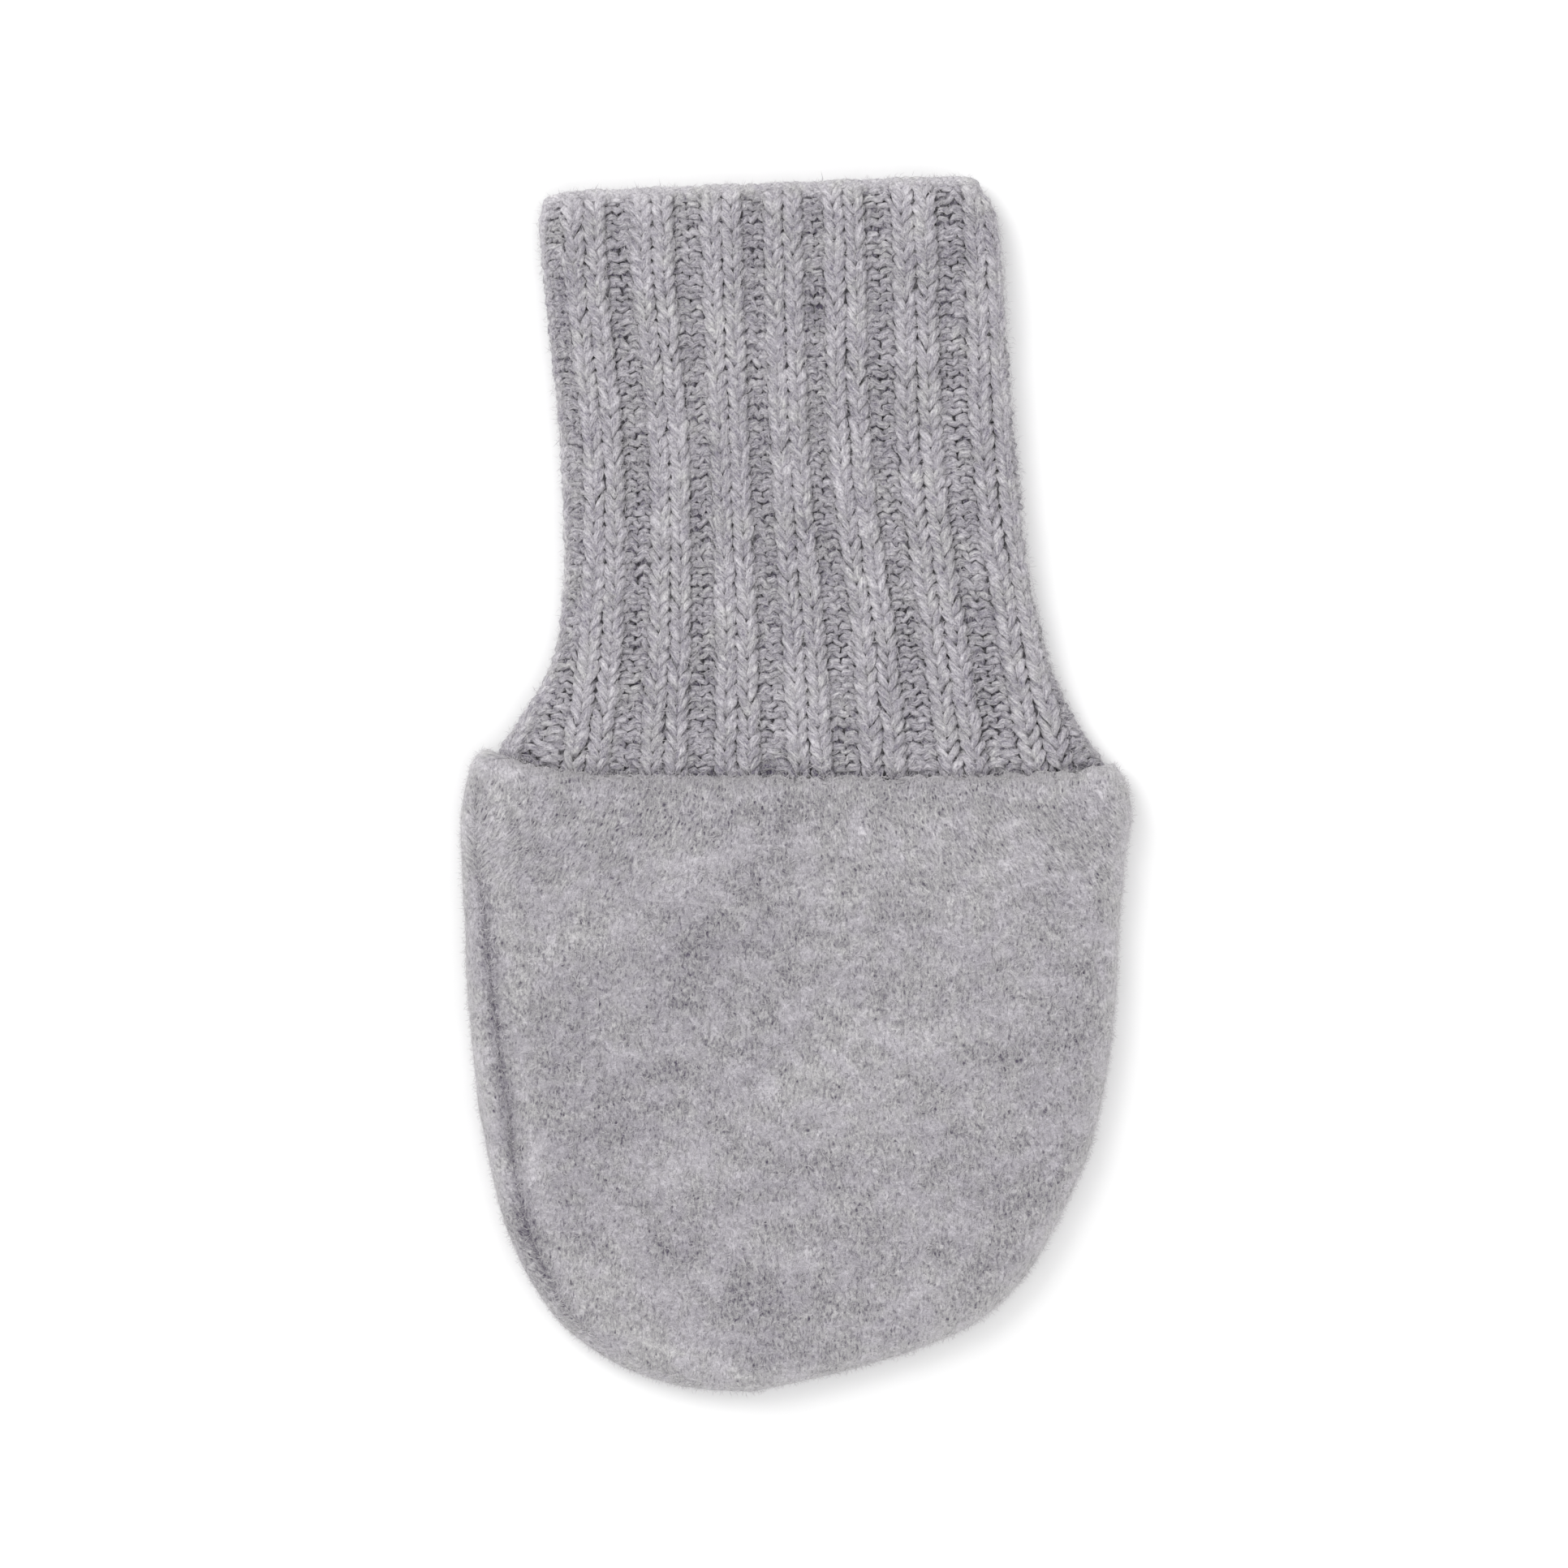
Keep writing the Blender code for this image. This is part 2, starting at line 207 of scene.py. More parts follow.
def smooth_rows(rows, places):
    """Rows of a table read at fractional row numbers."""
    table = np.array(rows, dtype=float)
    ends = 2 * table[0] - table[1], 2 * table[-1] - table[-2]
    return smooth_curve(np.vstack([ends[0], table, ends[1], ends[1]]), np.asarray(places, float))


def table_at(rows, shares):
    """The columns after the first one, read at values of the first column."""
    table = np.array(rows, dtype=float)
    return smooth_rows(table[:, 1:], np.interp(shares, table[:, 0], np.arange(len(table))))


def ramp(value, start, width):
    """0 up to start, then evenly up to 1 over this width."""
    return np.clip((value - start) / width, 0.0, 1.0)


def bell(distance, height, middle, width):
    return height * np.exp(-((distance - middle) / width)**2)


def lumps(places, table):
    """A smooth random height for each place, summed from the lumps of a table."""
    total = np.zeros(places.shape[:-1])
    for height, drawn_out, size, seed in table:
        moved = (places * np.array(drawn_out) / size).reshape(-1, 3)
        moved = moved + np.array([seed * 17.3, seed * 5.1, 0.0])
        total += height * np.array([noise.noise(Vector(p)) for p in moved]).reshape(total.shape)
    return total


def roll(arc, depth, radius):
    """Distance in from the outline and height, for places on a rolled edge.

    arc is measured along the cloth from the side of the roll, upwards, and depth is how
    far under the outer face the place lies. Past the roll the cloth is flat.
    """
    angle = np.clip(arc / radius, -np.pi / 2, np.pi / 2)
    past = np.maximum(np.abs(arc) - radius * np.pi / 2, 0.0)
    inward = radius - (radius - depth) * np.cos(angle) + past
    return inward, radius + (radius - depth) * np.sin(angle)


def mouth_y(x):
    """The seam between hand and cuff: it sags from both side edges to the middle."""
    left_x, left_y, right_x, right_y = HAND_SECTIONS[0][:4]
    left = x < MIDDLE_X
    edge_x, edge_y = np.where(left, left_x, right_x), np.where(left, left_y, right_y)
    across = ramp(x, edge_x, MIDDLE_X - edge_x)
    return edge_y + (MIDDLE_MOUTH_Y - edge_y) * (1 - (1 - across)**MOUTH_SAG_POWER)


def lip_dip(from_mouth):
    """How far the front dips at this distance from its seam with the cuff."""
    return LIP_DEPTH * (1 - np.sqrt(1 - (1 - ramp(from_mouth, 0.0, LIP_WIDTH))**2))


def outline_rows():
    """Row numbers of HAND_SECTIONS that lie evenly along the outline and the middle line."""
    fine = np.linspace(0, len(HAND_SECTIONS) - 1, 1600)
    rows = smooth_rows(HAND_SECTIONS, fine)
    rows[:, 4] = np.maximum(rows[:, 4], PALM_CENTRE_Y)
    moved = np.diff(rows, axis=0)
    step = np.maximum(np.hypot(moved[:, 0], moved[:, 1]), np.abs(moved[:, 4]))
    way = np.concatenate([[0.0], np.cumsum(step)])
    return np.interp(np.linspace(0, way[-1], ROWS_PER_SIDE), way, fine)


row_numbers = outline_rows()
section_rows = smooth_rows(HAND_SECTIONS, row_numbers)
section_rows[:, 4] = np.maximum(section_rows[:, 4], PALM_CENTRE_Y)
right_half = section_rows[-2::-1]
spoke_edge = np.vstack([section_rows[:, 0:2], right_half[:, 2:4]])
spoke_middle_y = np.concatenate([section_rows[:, 4], right_half[:, 4]])
spoke_middle = np.stack([np.full(len(spoke_middle_y), MIDDLE_X), spoke_middle_y], axis=1)
spoke_sag = np.maximum(np.concatenate([section_rows[:, 5], right_half[:, 5]]), 1.0)
sag_across = np.stack([np.ones_like(spoke_sag), spoke_sag], axis=1)
both_ways = 2 * (len(HAND_SECTIONS) - 1)
spoke_share = np.concatenate([row_numbers, both_ways - row_numbers[-2::-1]]) / both_ways
seam_rows = table_at(SEAM_ON_ROLL, spoke_share)
spoke_seam = EDGE_RADIUS * np.radians(seam_rows[:, 0])
spoke_groove = seam_rows[:, 1:]


def spoke_speeds():
    """How far along each spoke one goes in for its whole share, at its outer end."""
    start = (spoke_middle - spoke_edge) * sag_across
    along = np.gradient(spoke_edge, axis=0)
    slant = np.abs(start[:, 0] * along[:, 1] - start[:, 1] * along[:, 0])
    slant /= np.linalg.norm(start, axis=1) * np.linalg.norm(along, axis=1)
    return np.linalg.norm(start, axis=1) * np.maximum(slant, LEAST_SLANT)


spoke_speed = spoke_speeds()
spoke_length = EDGE_RADIUS * (np.pi / 2 - 1) + spoke_speed


def hand_places(arc, depth):
    """Places of the hand's cloth: arc and depth have a row for each spoke."""
    inward, height = roll(arc, depth, EDGE_RADIUS)
    share = np.minimum(inward / spoke_speed[:, None], 1.0)
    across = np.stack([share, 1 - (1 - share)**spoke_sag[:, None]], axis=-1)
    flat = spoke_edge[:, None] + (spoke_middle - spoke_edge)[:, None] * across
    dip = lip_dip(mouth_y(flat[..., 0]) - flat[..., 1]) * ramp(arc / EDGE_RADIUS, LIP_START, 1.0)
    height = height - dip * (1 - depth / FLEECE_THICKNESS * INNER_LIP)
    return np.concatenate([flat, height[..., None]], axis=-1)


def panel_arcs(side, gap):
    """How far round the cloth a panel's columns lie: side is 1 for the front, -1 for the back."""
    first = (spoke_seam + side * gap)[:, None]
    turn = side * (EDGE_RADIUS * np.pi / 2 + ROLL_MARGIN)
    last = side * spoke_length[:, None]
    return np.hstack([first + (turn - first) * ROLL_STEPS, turn + (last - turn) * FLAT_STEPS])


def panel_pattern(side, arc, places):
    """The panel's places when it is flat on the cutting table, in mm: its edge is unrolled."""
    out = (spoke_edge - spoke_middle) * sag_across
    out /= np.linalg.norm(out, axis=1)[:, None]
    inward = roll(arc, np.zeros_like(arc), EDGE_RADIUS)[0]
    unrolled = side * arc - EDGE_RADIUS * (np.pi / 2 - 1)
    return places[..., :2] + out[:, None] * (inward - unrolled)[..., None]


def seam_groove(from_seam, places):
    """How far the side seam pulls the cloth in, unevenly along it and with a swell beside it."""
    middle, least, most = SEAM_DEPTH
    pucker = np.clip(middle + lumps(places, SEAM_LUMPS), least, most)
    pull = bell(from_seam, pucker, 0.0, GROOVE_WIDTH) - bell(from_seam, *SEAM_SWELL)
    return spoke_groove * pull


def squares(grid, turned=False):
    """The four corners of each cell of a grid, in order round it."""
    a, b, c, d = grid[:-1, :-1], grid[:-1, 1:], grid[1:, 1:], grid[1:, :-1]
    order = (a, d, c, b) if turned else (a, b, c, d)
    return np.stack(order, axis=2).reshape((-1, 4) + grid.shape[2:])


def new_mesh(name, places, edges, faces):
    """A mesh from places in mm on the table."""
    mesh = bpy.data.meshes.new(name)
    mesh.from_pydata(((places + TABLE_TO_FRAME) * MM).tolist(), edges, faces)
    return mesh


def mark(mesh, name, values, kind="FLOAT"):
    """Keeps a number, or a vector, for each point of a mesh."""
    layer = mesh.attributes.new(name, kind, "POINT")
    layer.data.foreach_set("value" if kind == "FLOAT" else "vector",
                           np.asarray(values, dtype=np.float32).ravel())


def map_flat(mesh, corners):
    """Gives each corner of each face its place on the flat map of the piece."""
    mesh.uv_layers.new(name="OFBake").uv.foreach_set(
        "vector", np.asarray(corners, dtype=np.float32).ravel())


# The flat map of a wall: the outer face, the inner one, and narrow strips for its rims above.
MAP_MARGIN = 0.01
OUTER_WIDTH, INNER_START, INNER_WIDTH = 0.7, 0.74, 0.24
FIRST_RIM, LAST_RIM, SIDE_RIM, RIM_WIDTH = 0.92, 0.95, 0.86, 0.015


def cloth_wall(name, outer, inner, flat_map):
    """A closed wall of cloth between two grids of points in mm.

    The map has each point's place on the flat cloth, from 0 to 1. Where it has a column more
    than the grids, their rows run round. Otherwise the last column is folded together, and
    closes when its points are merged.
    """
    rows, columns = outer.shape[:2]
    total = rows * columns
    number = np.arange(total).reshape(rows, columns)
    ring = flat_map.shape[1] > columns
    if ring:
        number = np.hstack([number, number[:, :1]])
    faces = [squares(number), squares(number + total, True)]
    maps = [squares(flat_map * OUTER_WIDTH + MAP_MARGIN),
            squares(flat_map * INNER_WIDTH + np.array([INNER_START, MAP_MARGIN]), True)]
    rims = [(number[0], FIRST_RIM, True), (number[-1], LAST_RIM, False)]
    if not ring:
        rims.append((number[:, 0], SIDE_RIM, False))
    for line, level, turned in rims:
        u = np.linspace(MAP_MARGIN, OUTER_WIDTH, len(line))
        strip = [np.stack([u, np.full(len(u), v)], axis=1) for v in (level, level + RIM_WIDTH)]
        faces.append(squares(np.stack([line, line + total]), turned))
        maps.append(squares(np.stack(strip), turned))
    places = np.concatenate([outer.reshape(-1, 3), inner.reshape(-1, 3)])
    mesh = new_mesh(name, places, [], np.concatenate(faces).tolist())
    map_flat(mesh, np.concatenate(maps))
    return new_piece(name, mesh)


def merged(piece, distance):
    """Joins the points that fall together, turns all faces outwards and smooths the shading."""
    work = bmesh.new()
    work.from_mesh(piece.data)
    bmesh.ops.remove_doubles(work, verts=work.verts, dist=distance * MM)
    bmesh.ops.dissolve_degenerate(work, dist=0.1 * distance * MM, edges=work.edges)
    bmesh.ops.recalc_face_normals(work, faces=work.faces)
    if work.calc_volume(signed=True) < 0:
        bmesh.ops.reverse_faces(work, faces=work.faces)
    work.to_mesh(piece.data)
    work.free()
    piece.data.shade_smooth()


def polygon_area(points):
    x, y = points[:, 0], points[:, 1]
    return abs(np.dot(x, np.roll(y, -1)) - np.dot(y, np.roll(x, -1))) / 2


def stray(places):
    """The edge at the mouth strays a little from stitch to stitch."""
    from_mouth = mouth_y(places[..., 0]) - places[..., 1]
    places[..., 1] += bell(from_mouth, lumps(places, LIP_LUMPS), 0.0, LIP_STRAY_WIDTH)


def hand_panel(name, side):
    """One panel of the hand: the piece, its outer places, and its flat size and area in metres."""
    outer_arc = panel_arcs(side, PANEL_GAP / 2)
    inner_arc = panel_arcs(side, PANEL_GAP / 2 * EDGE_RADIUS / (EDGE_RADIUS - FLEECE_THICKNESS))
    from_seam = np.abs(outer_arc - outer_arc[:, :1])
    smooth = hand_places(outer_arc, np.zeros_like(outer_arc))
    sunk = seam_groove(from_seam, smooth) + (lumps(smooth, FELT_LUMPS) + FELT_RISE)
    outer = hand_places(outer_arc, sunk)
    inner = hand_places(inner_arc, np.full_like(inner_arc, FLEECE_THICKNESS))
    outer[..., 2] = np.maximum(outer[..., 2], RESTING)
    if side > 0:
        stray(outer)
        stray(inner)
    pattern = panel_pattern(side, outer_arc, smooth)
    low, high = pattern.reshape(-1, 2).min(axis=0), pattern.reshape(-1, 2).max(axis=0)
    piece = cloth_wall(name, outer, inner, (pattern - low) / (high - low).max())

    # at_seam: the stitches pulled open beside the seam, which also sets its painted shade
    at_seam = sum(bell(from_seam, *row) for row in SEAM_OPENING_AND_SHADE)
    at_seam *= ramp(spoke_groove, 0.0, FULL_GROOVE)
    cloth = np.concatenate([pattern, at_seam[..., None]], axis=-1).reshape(-1, 3)
    mark(piece.data, "cloth", np.tile(cloth.ravel(), 2), "FLOAT_VECTOR")
    # Painted light: the rolled edges, and the swell beside the seam, are marked to be coloured
    # paler.
    painted_edge_light = (1 - ramp(np.abs(outer_arc), 0.0, EDGE_LIGHT_ARC)) * (1.0 if side > 0 else BACK_EDGE_LIGHT)
    painted_edge_light += bell(from_seam, *SWELL_PAINTED_LIGHT) * ramp(outer_arc, *SWELL_LIGHT_ARC)
    mark(piece.data, "painted_edge_light", np.tile(painted_edge_light.ravel(), 2))
    merged(piece, 0.005)
    rim = np.concatenate([pattern[:, 0], pattern[-1, 1:], pattern[0, ::-1][:-1]])
    return piece, outer, (high - low) * MM, polygon_area(rim) * MM * MM


front, front_places, front_cut, front_area = hand_panel("front_panel", 1)
back, back_places, back_cut, back_area = hand_panel("back_panel", -1)


class Shade:
    """A node's output that can be added, multiplied and so on, like a number."""

    def __init__(self, tree, socket):
        self.tree = tree
        self.socket = socket

    def node(self, kind, settings=None, sockets=None, out=0):
        """Adds a node: its settings first, then the values or links of its sockets."""
        made = self.tree.nodes.new(kind)
        for name, value in (settings or {}).items():
            setattr(made, name, value)
        for name, value in (sockets or {}).items():
            if isinstance(value, Shade):
                self.tree.links.new(value.socket, made.inputs[name])
            else:
                made.inputs[name].default_value = value
        return Shade(self.tree, made.outputs[out])

    def other(self, name):
        """Another output of the same node."""
        return Shade(self.tree, self.socket.node.outputs[name])

    def maths(self, operation, *values):
        return self.node("ShaderNodeMath", {"operation": operation}, dict(enumerate(values)))

    def __add__(self, value):
        return self.maths("ADD", self, value)

    def __sub__(self, value):
        return self.maths("SUBTRACT", self, value)

    def __rsub__(self, value):
        return self.maths("SUBTRACT", value, self)

    def __mul__(self, value):
        return self.maths("MULTIPLY", self, value)

    __radd__, __rmul__ = __add__, __mul__

    def between(self, low, high):
        """0 below low, 1 above high, and smooth between them."""
        return self.node("ShaderNodeMapRange", {"interpolation_type": "SMOOTHSTEP"},
                         {"Value": self, "From Min": low, "From Max": high})

    def cloud(self, scale, detail=2.0, roughness=0.5, distortion=0.0):
        """Soft random patches, from 0 to 1, over this vector."""
        return self.node("ShaderNodeTexNoise", None,
                         {"Vector": self, "Scale": scale, "Detail": detail,
                          "Roughness": roughness, "Distortion": distortion})

    def stitches(self, scale):
        """Distance from the middle of the nearest stitch of a fine flat knit."""
        return self.node("ShaderNodeTexVoronoi", {"voronoi_dimensions": "2D"},
                         {"Vector": self, "Scale": scale})

    def part(self, axis):
        """One of the three parts of this vector."""
        return self.node("ShaderNodeSeparateXYZ", None, {0: self}, axis)

    def vector(self, x, y, z):
        """A vector from three parts, in the same tree."""
        return self.node("ShaderNodeCombineXYZ", None, {0: x, 1: y, 2: z})

    def moved(self, by):
        return self.node("ShaderNodeVectorMath", {"operation": "ADD"}, {0: self, 1: by})

    def stretched(self, *times):
        """This vector with its three parts multiplied."""
        return self.node("ShaderNodeVectorMath", {"operation": "MULTIPLY"}, {0: self, 1: times})

    def blend(self, one, other):
        """A colour between two, by this share."""
        return self.node("ShaderNodeMix", {"data_type": "RGBA"}, {0: self, 6: one, 7: other}, 2)

    def marked(self, name, out="Fac"):
        """What the points of the piece were marked with, for a finish."""
        return self.node("ShaderNodeAttribute", {"attribute_name": name}, None, out)


def connect(value, socket):
    value.tree.links.new(value.socket, socket)


def finish(name, roughness, down):
    """A new material: its main shader and the place on the object, in mm.

    down is how much the fine down on the cloth catches the light at its turned edges.
    """
    material = bpy.data.materials.new(name)
    material.use_nodes = True
    tree = material.node_tree
    shader = tree.nodes["Principled BSDF"]
    for socket, value in (("Roughness", roughness), ("Specular IOR Level", 0.08),
                          ("Sheen Weight", down), ("Sheen Roughness", 0.5)):
        shader.inputs[socket].default_value = value
    metres = Shade(tree, tree.nodes.new("ShaderNodeTexCoord").outputs["Object"])
    return material, shader, metres.stretched(1000.0, 1000.0, 1000.0)


def colour(shader, lightness, dark, light):
    connect(lightness.blend(dark, light), shader.inputs["Base Color"])


def emboss(shader, relief, strength, height):
    """Gives a finish this relief, whose height is in mm."""
    bump = {"Strength": strength, "Distance": height * MM, "Height": relief}
    connect(relief.node("ShaderNodeBump", None, bump), shader.inputs["Normal"])


def patched(place, table):
    """Random patches of wool, summed from a table: their shade and their relief."""
    shade = relief = 0.0
    for drawn_out, scale, detail, roughness, in_colour, in_relief in table:
        patch = place.stretched(*drawn_out).cloud(scale, detail, roughness)
        shade = (patch - 0.5) * in_colour + shade
        relief = patch * in_relief + relief
    return shade, relief


THREAD_CURL, THREAD_WIDTH = 0.8, 0.035


def threads(place, table):
    """Thin curly lines, like single hairs that lie on the cloth: 1 on a line and 0 beside it."""
    lines = 0.0
    for scale, seed in table:
        ridge = place.moved((seed * 31.0, seed * 13.0, 0.0))
        ridge = ridge.cloud(scale, 1.0, 0.5, THREAD_CURL) - 0.5
        line = 1.0 - ridge.maths("ABSOLUTE", ridge).between(0.0, THREAD_WIDTH)
        lines = line.maths("MAXIMUM", line, lines)
    return lines


PLAIN_LIGHT = (0.796, 0.785, 0.773, 1.0)
LILAC_LIGHT = (0.802, 0.775, 0.810, 1.0)


def tinted(place, low, high):
    """The lightest wool, which is plain in some places and has a breath of lilac in others."""
    return place.cloud(0.22, 2.0, 0.8).between(low, high).blend(PLAIN_LIGHT, LILAC_LIGHT)


WOOL_DARK = (0.096, 0.081, 0.119, 1.0)
WOOL_LIGHT = (0.803, 0.780, 0.790, 1.0)
FLEECE_PATCHES = [
    # drawn out by, to the mm, detail, roughness, share of the colour, share of the relief
    ((0.6, 1.0, 1.0), 0.085, 1.0, 1.0, 0.50, 0.0),
    ((0.9, 1.0, 1.0), 0.45, 2.0, 1.0, 0.50, 0.6),
    ((1.0, 1.0, 1.0), 2.6, 3.0, 1.0, 0.90, 0.6),
]
FLEECE_HAIRS = [(0.8, 1.0), (0.65, 2.0), (1.3, 3.0), (1.1, 4.0), (1.7, 5.0)]   # to the mm, seed
FLEECE_STITCHES = 1.52          # to the mm, of the knit under the brushing
MOUTH_ZONE = (-16.0, 1.0)       # in mm of y, where the columns of stitches fan in to the cuff
MOUTH_FAN = 0.25                # how much closer together they are there
MOUTH_OPEN, SEAM_OPEN = 0.14, 0.12      # how much more the knit shows at the mouth and the seam
MOUTH_FLECKS, SEAM_FLECKS = 0.05, 0.12
# Painted shade: how much darker the slits between the stitches, and the cloth beside the seam, are
# coloured.
FLECKS_DARKER, SLITS_PAINTED_SHADE, FLEECE_SEAM_PAINTED_SHADE = 0.25, 0.43, 0.13
# Painted light: the second of these colours the rolled edges paler, where their down catches the
# light.
HAIRS_PALER, EDGE_PAINTED_LIGHT, MOUTH_PALER = 0.11, 0.25, 0.10


def brushed_wool():
    """Felted light grey melange: soft clouds, the slits of a fine knit, pale curled hairs."""
    material, shader, place = finish("brushed_wool", 0.95, 0.6)
    cloth = place.marked("cloth", "Vector")
    seam, painted_edge_light = cloth.part(2), place.marked("painted_edge_light")
    patches = place.cloud(0.22, 4.0, 0.9)
    near_mouth = place.part(1).between(*MOUTH_ZONE)
    swayed = place.node("ShaderNodeTexNoise", None, {"Vector": place, "Scale": 0.6}, "Color")
    wavy = cloth.moved(swayed)
    wales = place.vector(wavy.part(0) * (1.0 + near_mouth * MOUTH_FAN), wavy.part(1), 0.0)
    knit = wales.stretched(0.85, 0.56, 0.0).stitches(FLEECE_STITCHES)
    gapes = wales.stretched(1.0, 0.45, 0.0).cloud(1.3, 2.0, 0.6)
    open_cloth = (0.60 - patches + near_mouth * MOUTH_OPEN + seam * SEAM_OPEN).between(0.0, 0.26)
    slits = (1.0 - knit.between(0.04, 0.32)) * (1.0 - gapes.between(0.42, 0.62)) * open_cloth
    strokes = wales.stretched(1.0, 0.36, 1.0).cloud(2.8, 2.0, 0.7, 0.4) + (patches - 0.5) * 0.5
    flecks = strokes - seam * SEAM_FLECKS - near_mouth * MOUTH_FLECKS
    flecks = 1.0 - flecks.between(0.34, 0.52)
    hairs = threads(place, FLEECE_HAIRS)
    shade, relief = patched(place, FLEECE_PATCHES)
    lightness = (0.474 + shade - flecks * FLECKS_DARKER - slits * SLITS_PAINTED_SHADE
                 - seam * patches * FLEECE_SEAM_PAINTED_SHADE + hairs * HAIRS_PALER + painted_edge_light * EDGE_PAINTED_LIGHT
                 + near_mouth * MOUTH_PALER)
    colour(shader, lightness, WOOL_DARK, tinted(place, 0.36, 0.64))
    emboss(shader, relief - flecks * 0.5 - slits + hairs * 0.4, 0.8, 0.20)
    return material


fleece = brushed_wool()
for panel in (front, back):
    panel.data.materials.append(fleece)

# ---------------------------------------------------------------------------------------------
# Cuff: one tube of 2x2 rib, knitted in the round from a soft, hairy wool yarn. Two columns of
# plain stitches stand up as a rib, and the two purl columns beside them sink into a groove.
# The tube widens to the mouth of the hand, and its cast-on edge turns in at the wrist.

CUFF_RADIUS = 2.9               # half the height of the cuff
RIB_HEIGHT = 1.1                # how far a rib stands over the groove beside it
RIB_STEEPNESS = 1.6
LEAST_RIB = 0.3                 # what the folds at the sides leave of the ribs' height
YARN_RADIUS = 0.56
LOOP_DEPTH = 0.58               # how far a loop leans out of the middle of the cloth
CLOTH_MIDDLE = YARN_RADIUS + LOOP_DEPTH + 0.05
EASY_DEPTH = 2.0                # deeper than this the cloth is pressed together
PRESSED = 0.5                   # to this share of its depth
WALES = 60                      # columns of stitches round the tube
WALES_PER_RIB = 2
FRONT_WALES = 26                # from the left edge of rib 1 to the right edge of rib 7
COURSES = 50                    # rows of stitches
FLAT_COURSES = 48               # the ones above turn over the wrist edge
EDGE_ROLL = 1.5                 # radius of the turned edge
MOST_TURN = np.radians(150)
SCALLOP = 0.1                   # how far the edge stands back at the grooves
EDGE_FLATNESS = 0.75            # how much of the ribs' height is lost at the cast-on edge,
EDGE_FLATTENS = (46.0, 3.5)     # from which row on and over how many
CORNER_DROP = 1.7               # how far the wrist edge is rounded off at the two folds,
CORNER_ROWS = (44.0, 5.0)       # from which row on and over how many,
CORNER_WIDTH = 1.2              # and how far in from the fold
HALF_RIB_SHARE = 0.31           # of the way from one rib's middle to the next
SEAM_SETTLE_SHARE = 0.35        # of the cuff's length, where the rows straighten above the seam
SEAM_TUCK = 0.65                # how far the first row dips into the seam
SEAM_GAP = 0.3

# The outline, one row for each section from the seam up to the wrist edge, in mm.
CUFF_SECTIONS = [
    # left_x, left_y, right_x, right_y, top_z
    (-38.8, 4.2, 40.4, 2.5, 5.6),
    (-36.6, 7.2, 37.9, 6.2, 5.8),
    (-34.1, 10.9, 35.5, 10.7, 5.8),
    (-32.0, 15.1, 33.6, 15.3, 5.8),
    (-30.7, 20.4, 32.2, 20.8, 5.8),
    (-30.2, 27.7, 30.7, 28.2, 5.8),
    (-30.3, 37.2, 29.7, 38.0, 5.8),
    (-30.9, 46.6, 28.7, 47.8, 5.8),
    (-31.9, 56.1, 28.0, 57.5, 5.8),
    (-32.9, 65.5, 27.4, 67.4, 5.8),
    (-33.4, 71.6, 26.1, 73.7, 5.8),
    (-33.1, 74.8, 24.2, 77.1, 5.7),
]
ALL_SECTIONS = 12               # counting the turned edge, which the table leaves out
# Middles of the seven ribs on the front, at some of the sections, in mm.
RIB_MIDDLES = [
    # share of the sections, rib 1, rib 2, rib 3, rib 4, rib 5, rib 6, rib 7
    (0.00, -27.4, -17.3, -7.6, 2.0, 11.4, 21.8, 32.7),
    (0.33, -25.1, -16.3, -7.7, 0.9, 10.0, 19.0, 28.9),
    (0.54, -24.9, -16.4, -8.5, -0.7, 7.1, 16.1, 25.7),
    (0.76, -27.2, -18.4, -9.5, -1.6, 6.3, 15.4, 24.7),
    (1.00, -27.4, -18.7, -9.8, -1.7, 5.9, 14.8, 24.1),
]

section_place = np.linspace(0, len(CUFF_SECTIONS) - 1, 400)
section_fine = smooth_rows(CUFF_SECTIONS, section_place)
section_share = section_place / ALL_SECTIONS


def wale_edges():
    """For each fine section, where the 60 columns of stitches begin on the unrolled tube."""
    ribs = table_at(RIB_MIDDLES, section_share)
    gaps = np.diff(ribs, axis=1)
    half = HALF_RIB_SHARE * (np.hstack([gaps[:, :1], gaps]) + np.hstack([gaps, gaps[:, -1:]])) / 2
    starts, ends = ribs - half, ribs + half
    between = (ends[:, :-1] + starts[:, 1:]) / 2
    front = np.stack([starts[:, :-1], ribs[:, :-1], ends[:, :-1], between], axis=2)
    front = np.hstack([front.reshape(len(ribs), -1), starts[:, -1:], ribs[:, -1:], ends[:, -1:]])
    round_about = 2 * (section_fine[:, 2] - section_fine[:, 0] - 2 * CUFF_RADIUS)
    round_about += 2 * np.pi * CUFF_RADIUS
    rest = np.linspace(front[:, -1], front[:, 0] + round_about, WALES - FRONT_WALES + 1, axis=1)
    return np.hstack([front, rest[:, 1:]])


wale_starts = wale_edges()
settling = np.maximum(1 - section_share / SEAM_SETTLE_SHARE, 0.0)**2
seam_left_x, seam_left_y, seam_right_x, seam_right_y = CUFF_SECTIONS[0][:4]
centre_y = (section_fine[:, 1] + section_fine[:, 3]) / 2
centre_y = centre_y + settling * (MIDDLE_MOUTH_Y - (seam_left_y + seam_right_y) / 2)
ROW_PITCH = (centre_y[-1] - centre_y[0]) / FLAT_COURSES


def rib_rise(wale):
    """1 in the middle of a rib and 0 in the middle of a groove."""
    phase = (wale - WALES_PER_RIB / 2) / (2 * WALES_PER_RIB)
    return 0.5 + 0.5 * np.tanh(RIB_STEEPNESS * np.cos(2 * np.pi * phase)) / np.tanh(RIB_STEEPNESS)


